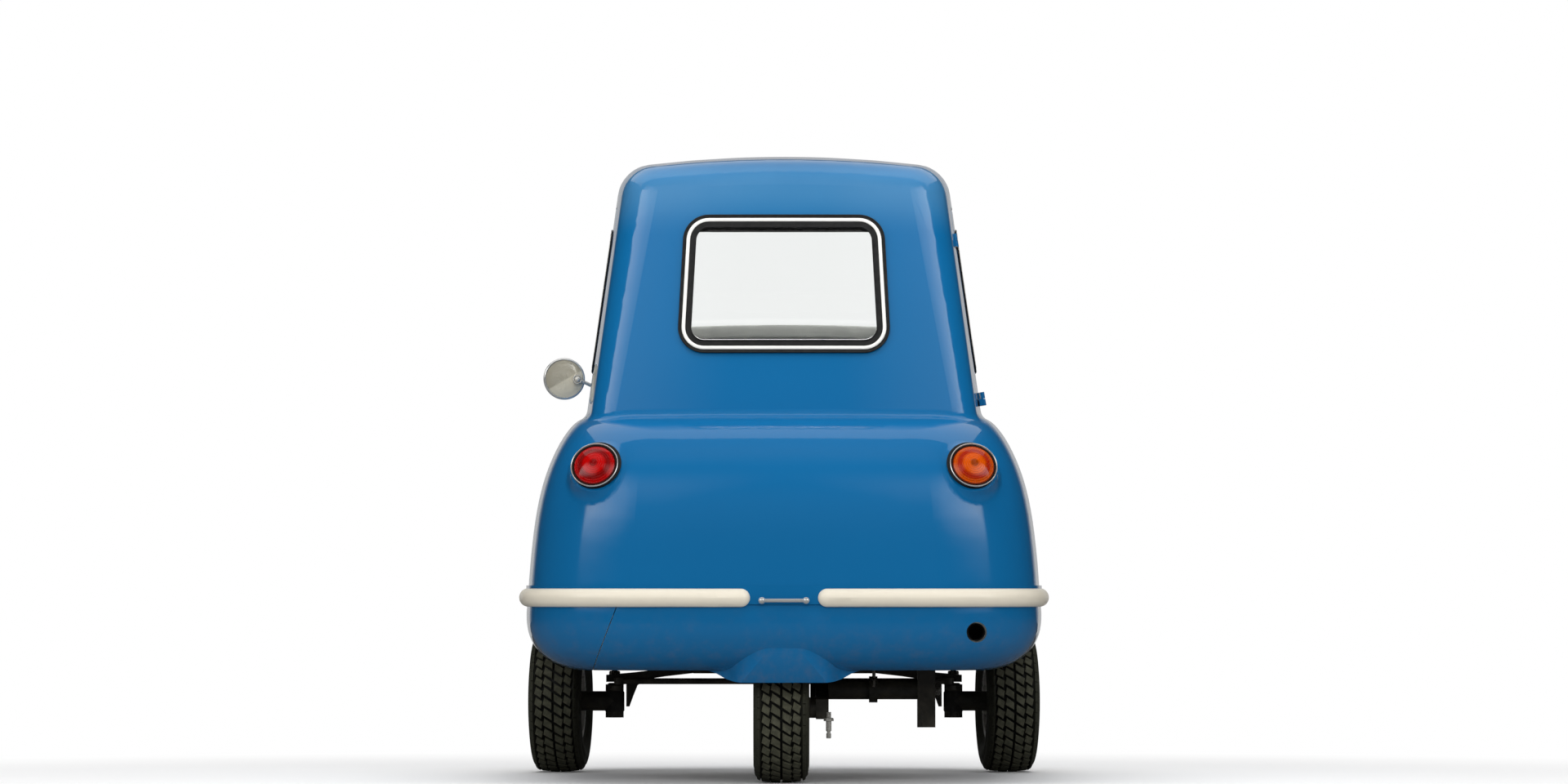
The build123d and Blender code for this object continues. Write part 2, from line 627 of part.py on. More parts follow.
def windscreen_point(x, z, proud):
    """Point ahead of the windscreen, measured from the flat through its middle."""
    y = screen_foot[3] - (z - screen_foot[0]) * math.tan(glass_slope)
    return (x, y + proud * math.cos(glass_slope), z + proud * math.sin(glass_slope))


with BuildPart() as wiper:
    pivot = windscreen_point(*WIPER_PIVOT, 12.0)
    add(rod(windscreen_point(*WIPER_PIVOT, 0.8), windscreen_point(*WIPER_PIVOT, 18.0), 9.0))
    add(rod(pivot, windscreen_point(*WIPER_TIP, 12.5), 3.0))
    add(rod(windscreen_point(*WIPER_BLADE_LOW, 12.5), windscreen_point(*WIPER_BLADE_HIGH, 12.5), 3.6))
save(wiper.part, "wiper")

# ---------------------------------------------------------------- inside
with BuildPart() as seat_base:
    with Locations((0, (SEAT_REAR_Y + SEAT_FRONT_Y) / 2, SEAT_TOP_Z - SEAT_CUSHION / 2)):
        Box(SEAT_W, SEAT_FRONT_Y - SEAT_REAR_Y, SEAT_CUSHION)
    fillet(seat_base.edges().filter_by(Axis.Z), 45)
    fillet(seat_base.faces().sort_by(Axis.Z)[-1].edges(), 22)
save(seat_base.part, "seat_cushion")

back_plane = Plane(origin=(0, SEAT_REAR_Y - 4, SEAT_TOP_Z - 20), x_dir=(-1, 0, 0), z_dir=(0, 0.98, 0.2))
with BuildPart() as seat_back:
    with BuildSketch(back_plane):
        with Locations((0, SEAT_BACK_H / 2)):
            RectangleRounded(SEAT_W - 20, SEAT_BACK_H, 50)
    extrude(amount=-SEAT_BACK_T)
    fillet(seat_back.faces().sort_by(Axis.Y)[-1].edges(), 16)
save(seat_back.part, "seat_backrest")

with BuildPart() as seat_frame:
    top, foot = SEAT_TOP_Z - SEAT_CUSHION - 0.5, FLOOR_Z + WALL + 0.5
    with Locations((0, (SEAT_REAR_Y + SEAT_FRONT_Y) / 2, foot)):
        width, length = SEAT_W - 40, SEAT_FRONT_Y - SEAT_REAR_Y - 30
        Box(width, length, top - foot, align=(Align.CENTER, Align.CENTER, Align.MIN))
    fillet(seat_frame.edges().filter_by(Axis.Z), 40)
    offset(amount=-5, openings=seat_frame.faces().sort_by(Axis.Z)[0])
    with Locations((0, 0, foot)):
        Box(220, 600, 60, align=(Align.CENTER, Align.CENTER, Align.MIN), mode=Mode.SUBTRACT)
        Box(600, 160, 60, align=(Align.CENTER, Align.CENTER, Align.MIN), mode=Mode.SUBTRACT)
    for sign in (-1, 1):
        corner = (sign * 150, SEAT_REAR_Y - 60, top - 20)
        add(rod((sign * 150, SEAT_REAR_Y + 24, top - 20), corner, 9.0))
        add(rod(corner, (sign * 150, SEAT_REAR_Y - 143, SEAT_TOP_Z + 300), 9.0))
save(seat_frame.part, "seat_frame")

with BuildPart(Plane(origin=(DASH_GAUGE_X, DASH_Y - 6, DASH_Z - 50), z_dir=(0, 0.98, 0.17))) as gauge:
    Cylinder(42, 20, align=(Align.CENTER, Align.CENTER, Align.MIN))

with BuildPart() as dash:
    with BuildSketch(Plane.YZ.offset(-DASH_HALF)):
        with BuildLine():
            Polyline((DASH_Y + 60, DASH_Z), (DASH_Y + 6, DASH_Z))
            ThreePointArc((DASH_Y + 6, DASH_Z), (DASH_Y, DASH_Z - 4), (DASH_Y - 2, DASH_Z - 12))
            Polyline((DASH_Y - 2, DASH_Z - 12), (DASH_Y + 14, DASH_Z - 96), (DASH_Y + 20, DASH_Z - 96),
                     (DASH_Y + 5, DASH_Z - 8), (DASH_Y + 60, DASH_Z - 8), (DASH_Y + 60, DASH_Z))
        make_face()
    extrude(amount=2 * DASH_HALF)
    add(gauge.part)
save(dash.part, "dash")

column_dir = (Vector(*COLUMN_FOOT) - Vector(*WHEEL_CENTRE)).normalized()
column_plane = Plane(origin=WHEEL_CENTRE, x_dir=(1, 0, 0), z_dir=-column_dir)
with BuildPart() as steering_column:
    add(rod(Vector(*WHEEL_CENTRE) + column_dir * 62, COLUMN_FOOT, 17.0))
    add(rod(Vector(*WHEEL_CENTRE) + column_dir * 50, COLUMN_FOOT, 9.0), mode=Mode.SUBTRACT)
    add(rod(Vector(*COLUMN_FOOT) - column_dir * 12, COLUMN_FOOT, 30.0))
save(steering_column.part, "steering_column")

with BuildPart() as wheel_rim:
    Torus(WHEEL_RIM_R, 11)
    Cylinder(24, 30, align=(Align.CENTER, Align.CENTER, Align.MAX))
    with PolarLocations(WHEEL_RIM_R / 2, 3, start_angle=-90):
        Box(WHEEL_RIM_R, 22, 5)
with BuildPart() as steering_wheel:
    add(column_plane.location * wheel_rim.part)
    add(rod(WHEEL_CENTRE, Vector(*WHEEL_CENTRE) + column_dir * 220, 8.0))
save(steering_wheel.part, "steering_wheel")

with BuildPart() as engine:
    with Locations(ENGINE_AT):
        Box(*ENGINE_SIZE)
    fillet(engine.edges(), 12)
save(engine.part, "engine")

with BuildPart() as tail_pipe:
    mouth = (EXHAUST_X, TAIL_PIPE_REAR_Y, EXHAUST_Z)
    add(rod(mouth, (EXHAUST_X, TAIL_PIPE_FRONT_Y, EXHAUST_Z), EXHAUST_R - 2.5))
    add(rod(mouth, (EXHAUST_X, TAIL_PIPE_FRONT_Y - 10, EXHAUST_Z), EXHAUST_R - 4.5), mode=Mode.SUBTRACT)
save(tail_pipe.part, "tail_pipe")


# ---------------------------------------------------------------- wheels
def tyre():
    half = TYRE_W / 2
    with BuildPart() as ring:
        with BuildSketch(Plane.XZ):
            with BuildLine():
                for s in (-1, 1):
                    Line((s * BEAD_HALF, RIM_R - 3), (s * BEAD_HALF, RIM_R + 9))
                    for start, middle, end in TYRE_SIDE:
                        arc = [(s * (half - inwards), radius) for inwards, radius in (start, middle, end)]
                        ThreePointArc(*arc)
                ThreePointArc((-half + 14, TYRE_R - 3), (0, TYRE_R), (half - 14, TYRE_R - 3))
                Line((-BEAD_HALF, RIM_R - 3), (BEAD_HALF, RIM_R - 3))
            make_face()
        revolve(axis=Axis.X)
    return ring.part


def rim():
    """Pressed wheel: barrel with flanges, dished disc towards +X, hub and four nuts."""
    with BuildPart(Plane(origin=(DISC_X - 5, 0, 0), z_dir=(1, 0, 0))) as nuts:
        with PolarLocations(29, 4, start_angle=45):
            Cylinder(5.5, 12, align=(Align.CENTER, Align.CENTER, Align.MIN))
    with BuildPart(Plane(origin=(DISC_X - 10, 0, 0), z_dir=(1, 0, 0))) as slots:
        with PolarLocations(54, 8):
            Cylinder(6.5, 40, align=(Align.CENTER, Align.CENTER, Align.MIN))
    bead = BEAD_HALF + 0.4
    with BuildPart() as wheel:
        with BuildSketch(Plane.XZ):
            with BuildLine():
                Polyline(
                    (-BEAD_HALF - 4, RIM_R + 6), (-bead, RIM_R + 6), (-bead, RIM_R - 3.4),
                    (bead, RIM_R - 3.4), (bead, RIM_R + 6), (BEAD_HALF + 4, RIM_R + 6),
                    (BEAD_HALF + 4, RIM_R - 7), (DISC_X + 16, RIM_R - 7), (DISC_X + 12, 44), (DISC_X, 36),
                    (DISC_X, HUB_R), (DISC_X + 12, HUB_R - 4), (DISC_X + 12, HUB_BORE_R), (-30, HUB_BORE_R),
                    (-30, HUB_R - 2), (DISC_X - 5, HUB_R), (DISC_X - 5, 38), (DISC_X + 7, 48),
                    (DISC_X + 10, RIM_R - 7), (-BEAD_HALF - 4, RIM_R - 7), close=True)
            make_face()
        revolve(axis=Axis.X)
        add(nuts.part)
        add(slots.part, mode=Mode.SUBTRACT)
    return wheel.part


# name, centre, turn about Z: a wheel's outer face is at +X before it is turned
WHEELS = [
    ("front_left", (-FRONT_X, FRONT_Y, TYRE_R), 180.0 - TOE_DEG),
    ("front_right", (FRONT_X, FRONT_Y, TYRE_R), TOE_DEG),
    ("rear", (REAR_X, REAR_Y, TYRE_R), 180.0),
]
for name, centre, turn in WHEELS:
    place = Location(centre, (0, 0, turn))
    save(place * tyre(), f"tyre_{name}")
    save(place * rim(), f"rim_{name}")

# ---------------------------------------------------------------- running gear
def knuckle(sign):
    """Upright with stub axle outwards and steering arm to the rear, for the right side turned by the toe."""
    reach = KINGPIN_REACH
    with BuildPart() as upright:
        with Locations((0, 0, 0)):
            Cylinder(UPRIGHT_R, UPRIGHT_TOP_Z - UPRIGHT_LOW_Z)
        add(rod((0, 0, 0), (reach - 36, 0, 0), 19.5))
        add(rod((0, 0, 0), (reach + 22, 0, 0), STUB_R))
        add(rod((reach + 24.5, 0, 0), (reach + 36, 0, 0), 13.0))
        add(rod((reach + 20, 0, 0), (reach + 30, 0, 0), STUB_R))
        with BuildSketch(Plane.XY.offset(ARM_Z - UPRIGHT_MID_Z)):
            with BuildLine():
                end_in, end_out = (-ARM_IN - 9, -ARM_LENGTH), (-ARM_IN + 9, -ARM_LENGTH)
                Polyline((-15, 0), end_in, end_out, (15, 0), close=True)
            make_face()
            with Locations((-ARM_IN, -ARM_LENGTH)):
                Circle(11)
        extrude(amount=8)
    placed = Location((KINGPIN_X, KINGPIN_Y, UPRIGHT_MID_Z), (0, 0, TOE_DEG)) * upright.part
    return placed if sign > 0 else mirror(placed, about=Plane.YZ)


for side, sign in SIDE.items():
    save(knuckle(sign), f"knuckle_{side}")

with BuildPart() as front_suspension:
    for sign in (-1, 1):
        with BuildSketch(Plane.XZ.offset(-KINGPIN_Y - YOKE_W / 2)):
            with BuildLine():
                Polyline([(sign * x, z) for x, z in YOKE_PROFILE], close=True)
            make_face()
        extrude(amount=YOKE_W)
    with Locations((0, KINGPIN_Y, FLOOR_Z - 8.5)):
        Box(2 * 180, 50, 15)
save(front_suspension.part, "front_suspension")

with BuildPart() as track_rod:
    rod_x = KINGPIN_X - ARM_IN
    rod_y = KINGPIN_Y - ARM_LENGTH
    rod_z = ARM_Z + 8 + 9
    add(rod((-rod_x, rod_y, rod_z), (rod_x, rod_y, rod_z), 6.0))
    for sign in (-1, 1):
        with Locations((sign * rod_x, rod_y, rod_z)):
            Cylinder(10, 13)
save(track_rod.part, "track_rod")

with BuildPart() as rear_suspension:
    add(rod((PIVOT_X[0], PIVOT_Y, PIVOT_Z), (PIVOT_X[1], PIVOT_Y, PIVOT_Z), 19.0))
    add(rod((162, PIVOT_Y, PIVOT_Z), (178, PIVOT_Y, PIVOT_Z), 25.0))
    with Locations(((HANGER_X[0] + HANGER_X[1]) / 2, PIVOT_Y, (HANGER_Z + FLOOR_Z - 0.6) / 2)):
        Box(HANGER_X[1] - HANGER_X[0], 46, FLOOR_Z - 0.6 - HANGER_Z)
    with BuildSketch(Plane.YZ.offset(TRAIL_X)):
        with BuildLine():
            pivot_end = [(PIVOT_Y + 20, PIVOT_Z + 18), (PIVOT_Y + 22, PIVOT_Z - 18)]
            axle_end = [(REAR_Y + 10, TYRE_R - 22), (REAR_Y - 18, TYRE_R - 20), (REAR_Y - 22, TYRE_R + 16)]
            Polyline(*pivot_end, *axle_end, (REAR_Y, TYRE_R + 20), close=True)
        make_face()
    extrude(amount=24)
    add(rod((TRAIL_X, REAR_Y, TYRE_R), (REAR_X + 33, REAR_Y, TYRE_R), 19.5))
    add(rod((TRAIL_X, REAR_Y, TYRE_R), (REAR_X - 36, REAR_Y, TYRE_R), STUB_R))
save(rear_suspension.part, "rear_suspension")
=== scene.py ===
import math
from functools import reduce

import bpy
from mathutils import Matrix, Vector
from mathutils.bvhtree import BVHTree


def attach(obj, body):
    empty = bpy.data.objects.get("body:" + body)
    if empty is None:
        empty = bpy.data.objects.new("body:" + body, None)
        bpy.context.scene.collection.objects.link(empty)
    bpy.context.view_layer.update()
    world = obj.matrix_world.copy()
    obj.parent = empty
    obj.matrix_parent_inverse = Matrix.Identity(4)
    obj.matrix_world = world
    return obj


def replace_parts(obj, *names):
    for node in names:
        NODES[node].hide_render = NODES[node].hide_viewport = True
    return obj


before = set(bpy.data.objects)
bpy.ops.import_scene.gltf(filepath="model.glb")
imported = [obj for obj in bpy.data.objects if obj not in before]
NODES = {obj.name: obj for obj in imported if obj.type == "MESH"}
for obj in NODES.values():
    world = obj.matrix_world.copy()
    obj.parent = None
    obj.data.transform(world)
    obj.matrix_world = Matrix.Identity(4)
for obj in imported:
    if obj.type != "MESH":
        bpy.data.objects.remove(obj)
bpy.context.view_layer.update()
scene = bpy.context.scene
MM = 0.001
X, Y, Z = Vector((1, 0, 0)), Vector((0, 1, 0)), Vector((0, 0, 1))
SQUARE = ((-1, -1), (1, -1), (1, 1), (-1, 1))

# -------- repeated from the part's source, in mm
TYRE_R, ARCH_R, WELL_R, WELL_HALF = 141.0, 197.0, 160.0, 72.0
FRONT_X, FRONT_Y = 445.0, 400.0
REAR_X, REAR_Y = -5.0, -460.0
TOE_DEG, KINGPIN_REACH = 5.0, 108.0
KINGPIN_X = FRONT_X - KINGPIN_REACH * math.cos(math.radians(TOE_DEG))
KINGPIN_Y = FRONT_Y - KINGPIN_REACH * math.sin(math.radians(TOE_DEG))
PIVOT_Y, PIVOT_Z, HANGER_OUTER_X = -285.0, 173.0, 288.0
LAMP_AT, LAMP_R = (352.0, -612.0, 592.0), 48.0
LAMP_TILT, LAMP_YAW, LAMP_SHANK = math.radians(26.0), math.radians(12.0), 3.4
HEADLAMP_AT, HEADLAMP_R = (0.0, 665.0, 525.0), 72.0
INDICATOR_AT = (323.0, 601.0, 579.0)
MIRROR_DISC, MIRROR_FACE = (-436.0, 292.0, 780.0), (0.16, -0.98, 0.05)
WHEEL_CENTRE, COLUMN_FOOT = Vector((0.0, 150.0, 610.0)), Vector((0.0, 330.0, 420.0))
DASH_Y, DASH_Z, DASH_FACE = 318.0, 704.0, (0.0, -0.98, -0.17)
# End windows: half width at the foot and at the head, low and high edge, corner radius
REAR_WINDOW = (193, 180, 818, 1064, 40)
WINDSCREEN = (262, 246, 868, 1086, 50)
# Outlines in the sides, corners as y, z, radius
SIDE_WINDOW = [(-206, 1046, 42), (-206, 790, 42), (212, 790, 46), (104, 1046, 52)]
DOOR_OUTLINE = [
    (-267, 1096, 58), (-267, 690, 60), (-200, 598, 70), (-200, 396, 46),
    (262, 396, 80), (316, 690, 90), (148, 1096, 62),
]
DOOR_GAP, PANEL_GAP = 7.0, 3.0
ENGINE_PANEL_EDGE = ((-309, 335), (-362, 200))


# -------- material kit
class Graph:
    """Short hand for the node tree of a material or of the world."""

    def __init__(self, owner):
        owner.use_nodes = True
        self.tree = owner.node_tree
        self.tree.nodes.clear()

    def node(self, kind, inputs=(), **settings):
        """New node with values or links for its inputs, by number or name."""
        made = self.tree.nodes.new("ShaderNode" + kind)
        for key, value in settings.items():
            setattr(made, key, value)
        for key, value in dict(inputs).items():
            self.feed(made.inputs[key], value)
        return made

    def feed(self, socket, value):
        if isinstance(value, bpy.types.NodeSocket):
            self.tree.links.new(value, socket)
        else:
            socket.default_value = value

    def math(self, operation, a, b=0.0, c=0.0):
        return self.node("Math", {0: a, 1: b, 2: c}, operation=operation).outputs[0]

    def times(self, *values):
        return reduce(lambda a, b: self.math("MULTIPLY", a, b), values)

    def most(self, *values):
        return reduce(lambda a, b: self.math("MAXIMUM", a, b), values)

    def times_plus(self, value, by, plus):
        return self.math("MULTIPLY_ADD", value, by, plus)

    def span(self, value, low, high, to_low=0.0, to_high=1.0):
        """Smooth step from one value at low to another at high."""
        ends = dict(enumerate((value, low, high, to_low, to_high)))
        return self.node("MapRange", ends, interpolation_type="SMOOTHSTEP").outputs[0]

    def xyz(self, source):
        return self.node("SeparateXYZ", {0: source}).outputs

    def mix_shader(self, factor, a, b):
        return self.node("MixShader", {0: factor, 1: a.outputs[0], 2: b.outputs[0]})


class Shader(Graph):
    """Material with one principled shader."""

    def __init__(self, name):
        self.mat = bpy.data.materials.new(name)
        super().__init__(self.mat)
        self.bsdf = self.node("BsdfPrincipled")
        self.out = self.node("OutputMaterial", {0: self.bsdf.outputs[0]})
        self.place = self.node("TexCoord").outputs["Object"]

    def set(self, **values):
        for key, value in values.items():
            self.feed(self.bsdf.inputs[key.replace("_", " ")], value)

    def mix(self, factor, a, b):
        a, b = (c if isinstance(c, bpy.types.NodeSocket) else (*c, 1.0) for c in (a, b))
        return self.node("Mix", {0: factor, 6: a, 7: b}, data_type="RGBA").outputs[2]

    def noise(self, scale, detail=3.0, rough=0.5):
        inputs = {"Vector": self.place, "Scale": scale, "Detail": detail, "Roughness": rough}
        return self.node("TexNoise", inputs).outputs["Fac"]

    def bump(self, height, strength, distance):
        made = self.node("Bump", {"Height": height, "Strength": strength, "Distance": distance})
        self.set(Normal=made.outputs[0])

    def detail_uv(self):
        return self.xyz(self.node("UVMap", uv_map="detail").outputs[0])


def rgb(*levels):
    """Linear colour from an sRGB one of 0 to 255."""
    parts = [level / 255 for level in levels]
    return tuple(c / 12.92 if c <= 0.04045 else ((c + 0.055) / 1.055) ** 2.4 for c in parts)


def shade(colour, by):
    return tuple(min(1.0, c * by) for c in colour)


def finish(name, colour, rough=0.5, metal=0.0, vary=0.12, scale=9.0, grain=350.0, depth=0.0002,
           strength=0.3, dust=None, dust_top=0.5, **sockets):
    """General finish: blotchy colour and gloss, a fine grain, and dust that thins out with height."""
    n = Shader(name)
    tint = n.mix(n.noise(scale, 4.0, 0.6), shade(colour, 1 - vary), shade(colour, 1 + vary))
    if dust:
        low = n.span(n.xyz(n.place)[2], 0.0, dust_top, 1.0, 0.0)
        patch = n.span(n.noise(31.0, 5.0, 0.65), 0.35, 0.75)
        tint = n.mix(n.times(low, n.times_plus(patch, 0.5, 0.12)), tint, dust)
    gloss = n.span(n.noise(scale * 3.1, 4.0), 0.25, 0.75, max(0.0, rough - 0.1), min(1.0, rough + 0.1))
    n.set(Base_Color=tint, Metallic=metal, Roughness=gloss, **sockets)
    n.bump(n.noise(grain, 2.0), strength, depth)
    return n.mat


DUST = rgb(120, 108, 88)
BLUE = (0.0030, 0.128, 0.325)
# Wheel wells: centre, radius, half width and wall, in mm
FRONT_WELL = (FRONT_X, FRONT_Y, ARCH_R + 1.5, 468.0, 0.0)
REAR_WELL = (0.0, REAR_Y, WELL_R + 1.5, WELL_HALF + 8.0, 15.0)
# Top of the black floor face, and the part of the wells that is trimmed in the cabin, in m
FLOOR_FACE_TOP, CABIN_LOW, CABIN_HALF_LENGTH = 0.2125, 0.2135, 0.6
CABIN_MIDDLE = (0.0, -0.06, 0.62)


def facing_in(n, normal):
    """1 where a face looks towards the middle of the cabin, else 0."""
    outwards = n.node("VectorMath", {0: n.place, 1: CABIN_MIDDLE}, operation="SUBTRACT")
    facing = n.node("VectorMath", {0: outwards.outputs[0], 1: normal}, operation="DOT_PRODUCT")
    return n.math("LESS_THAN", facing.outputs["Value"], 0.0)


def wheel_well(n, normal, centre_x, centre_y, radius, half, wall):
    """A well's face towards the wheel, and its other face in the cabin, each 0 or 1."""
    x, y, z = n.xyz(n.place)
    face_x, face_y, face_z = n.xyz(normal)
    across = n.math("ABSOLUTE", x)
    right = n.math("SUBTRACT", across, centre_x * MM)
    back = n.math("SUBTRACT", y, centre_y * MM)
    down = n.math("SUBTRACT", z, TYRE_R * MM)
    away = n.math("SQRT", n.times_plus(back, back, n.times(down, down)))
    face_away = n.times(face_x, n.math("SIGN", x))
    turned_out = n.times_plus(right, face_away, n.times_plus(back, face_y, n.times(down, face_z)))
    to_wheel = n.math("LESS_THAN", turned_out, 0.0)
    inner = n.times(n.math("LESS_THAN", away, radius * MM), n.math("LESS_THAN", across, half * MM))
    outer = n.times(n.math("LESS_THAN", away, (radius + wall) * MM),
                    n.math("LESS_THAN", across, (half + wall) * MM))
    cabin = n.times(n.math("GREATER_THAN", z, CABIN_LOW),
                    n.math("LESS_THAN", n.math("ABSOLUTE", y), CABIN_HALF_LENGTH),
                    n.math("SUBTRACT", 1.0, to_wheel))
    return n.times(inner, to_wheel), n.times(outer, cabin)


def paint_material():
    """Blue gloss outside with a painted highlight band and painted shade on the roof, pale gel coat inside
    and black underseal below and in the wheel wells.
    """
    n = Shader("body_paint")
    normal = n.node("TexCoord").outputs["Normal"]
    z = n.xyz(n.place)[2]
    floor_face = n.times(n.math("LESS_THAN", z, FLOOR_FACE_TOP), n.math("LESS_THAN", n.xyz(normal)[2], -0.6))
    front_black, front_trim = wheel_well(n, normal, *FRONT_WELL)
    rear_black, rear_trim = wheel_well(n, normal, *REAR_WELL)
    under = n.most(floor_face, front_black, rear_black)
    inside = n.most(facing_in(n, normal), front_trim, rear_trim)

    blue = n.mix(n.noise(2.2), shade(BLUE, 0.95), shade(BLUE, 1.05))
    film = n.times(n.span(z, 0.20, 0.36, 1.0, 0.0), n.span(n.noise(38.0, 6.0, 0.7), 0.42, 0.8, 0.02, 0.22))
    blue = n.mix(film, blue, DUST)
    # Painted highlight: a pale band round the roof's rear edge stands in for the overhead light's reflection
    roof = n.times(n.span(z, 1.03, 1.125), n.span(z, 1.15, 1.185, 1.0, 0.3))
    painted_roof_highlight = n.times(roof, n.span(n.noise(5.0, 4.0), 0.2, 0.8, 0.17, 0.25))
    blue = n.mix(painted_roof_highlight, blue, rgb(120, 172, 205))
    # Painted shade: the top of the roof is darkened to take off the overhead light
    blue = n.mix(n.span(z, 1.14, 1.19, 0.0, 0.5), blue, shade(BLUE, 0.45))
    trim = n.mix(n.noise(14.0, 4.0), rgb(196, 197, 192), rgb(212, 213, 209))
    underseal = n.mix(n.noise(60.0, 5.0), (0.006, 0.006, 0.005), (0.016, 0.015, 0.012))
    n.set(Base_Color=n.mix(under, n.mix(inside, blue, trim), underseal))

    n.set(Roughness=n.most(n.times(inside, 0.55), n.times(under, 0.85), n.times_plus(film, 1.2, 0.30)))
    n.set(Coat_Weight=n.math("SUBTRACT", 1.0, n.most(inside, under)))
    n.set(Coat_Roughness=0.035, Coat_IOR=1.5, Specular_IOR_Level=0.12)
    rough_skin = n.times(n.noise(900.0), n.times_plus(under, 3.0, n.times(inside, 0.6)))
    orange_skin = n.times_plus(n.noise(9.0, 1.0), 2.0, n.times(n.noise(260.0, 1.0), 0.12))
    n.bump(n.math("ADD", orange_skin, rough_skin), 0.25, 0.00035)
    return n.mat


def glass_material():
    """Clear pane with faint smears, which lets light through to cast no shadow."""
    n = Shader("window_glass")
    tint = (0.975, 0.985, 0.98)
    n.set(Base_Color=(*tint, 1.0), IOR=1.45, Transmission_Weight=1.0)
    n.set(Roughness=n.span(n.noise(5.0, 5.0, 0.6), 0.45, 0.8, 0.0, 0.035))
    clear = n.node("BsdfTransparent", {0: (*shade(tint, 0.96), 1.0)})
    pane = n.mix_shader(n.node("LightPath").outputs["Is Shadow Ray"], n.bsdf, clear)
    n.feed(n.out.inputs[0], pane.outputs[0])
    return n.mat


def chrome_material():
    """Plating with small spots of rust."""
    n = Shader("chrome")
    spots = n.span(n.noise(170.0, 6.0, 0.75), 0.66, 0.74)
    n.set(Base_Color=n.mix(spots, (0.78, 0.78, 0.76), rgb(120, 104, 84)), Metallic=0.62)
    n.set(Roughness=n.times_plus(spots, 0.35, n.span(n.noise(26.0, 4.0), 0.3, 0.7, 0.06, 0.15)))
    n.bump(n.noise(40.0, 2.0), 0.12, 0.0002)
    return n.mat


def lens_material(name, centre, edge, clear=0.0):
    """Moulded lens: u runs from the middle to the edge, and rings are pressed in it; its colour holds painted
    reflections and painted shade.
    """
    n = Shader(name)
    uv = n.detail_uv()
    ring = n.math("SINE", n.times(uv[0], 62.0))
    dots = n.times(n.math("SINE", n.times(uv[1], 48 * math.tau)), n.span(uv[0], 0.5, 0.8))
    # Painted reflections and painted shade: a dark middle, bright bands where the reflector shows, and a dark
    # outer edge
    tone = n.mix(n.span(uv[0], 0.14, 0.24), shade(centre, 0.42), centre)
    rings = {(0.45, 0.64): edge, (0.72, 0.86): shade(centre, 0.8), (0.9, 1.0): shade(edge, 0.3)}
    for (low, high), colour in rings.items():
        tone = n.mix(n.span(uv[0], low, high), tone, colour)
    # Painted shade along the pressed rings
    n.set(Base_Color=n.mix(n.times_plus(ring, 0.12, 0.12), tone, shade(centre, 0.45)))
    n.set(Roughness=n.span(n.noise(60.0), 0.3, 0.7, 0.08, 0.16), Specular_IOR_Level=0.15)
    n.set(Coat_Weight=0.7, Coat_Roughness=0.04, IOR=1.5, Transmission_Weight=clear)
    n.bump(n.math("ADD", ring, n.times(dots, 0.4)), 0.55, 0.0007)
    return n.mat


def tyre_material():
    """Rubber whose u tells how far a point lies below the tread's top."""
    n = Shader("tyre_rubber")
    below = n.detail_uv()[0]
    base = n.mix(n.noise(30.0, 5.0, 0.65), rgb(30, 31, 24), rgb(47, 48, 38))
    used = n.span(n.noise(75.0, 6.0, 0.7), 0.35, 0.75, 0.35, 0.9)
    base = n.mix(n.times(used, n.span(below, 0.1, 0.5, 1.0, 0.0)), base, rgb(88, 88, 72))
    # Painted shade: the grooves are darkened towards black
    n.set(Base_Color=n.mix(n.span(below, 0.6, 1.0), base, rgb(8, 9, 6)))
    n.set(Roughness=n.span(n.noise(18.0), 0.3, 0.7, 0.62, 0.86), Specular_IOR_Level=0.35)
    n.bump(n.noise(520.0, 4.0, 0.7), 0.5, 0.0004)
    return n.mat


def vinyl_material(name, colour):
    """Grained sheet, paler and smoother where it is worn."""
    n = Shader(name)
    cells = n.node("TexVoronoi", {"Vector": n.place, "Scale": 420.0}, feature="DISTANCE_TO_EDGE")
    creases = n.span(cells.outputs[0], 0.0, 0.12)
    worn = n.span(n.noise(7.0, 5.0, 0.6), 0.45, 0.75)
    n.set(Base_Color=n.mix(worn, shade(colour, 0.82), shade(colour, 1.18)))
    n.set(Roughness=n.times_plus(worn, -0.14, 0.52), Sheen_Weight=0.12, Sheen_Roughness=0.5)
    n.bump(n.times_plus(n.noise(60.0, 4.0), 0.8, creases), 0.45, 0.0005)
    return n.mat


def mirror_material():
    """Silvered disc whose colour holds a painted reflection, lighter on its lower inner half."""
    n = Shader("mirror_painted_reflection")
    x, y, z = n.xyz(n.place)
    inwards = n.math("SUBTRACT", x, MIRROR_DISC[0] * MM)
    upwards = n.math("SUBTRACT", z, MIRROR_DISC[2] * MM)
    # Painted reflection: the colour turns lighter towards the disc's lower inner half
    reflection_lighter_side = n.math("SUBTRACT", n.times(inwards, 0.5), n.times(upwards, 0.86))
    dark = n.mix(n.noise(7.0, 4.0, 0.6), rgb(164, 157, 138), rgb(184, 177, 157))
    n.set(Base_Color=n.mix(n.span(reflection_lighter_side, 0.0006, 0.005), dark, rgb(216, 209, 188)), Metallic=0.12)
    n.set(Roughness=n.span(n.noise(22.0, 4.0), 0.25, 0.75, 0.16, 0.3), Coat_Weight=0.8, Coat_Roughness=0.03)
    n.bump(n.noise(350.0, 2.0), 0.3, 0.00002)
    return n.mat


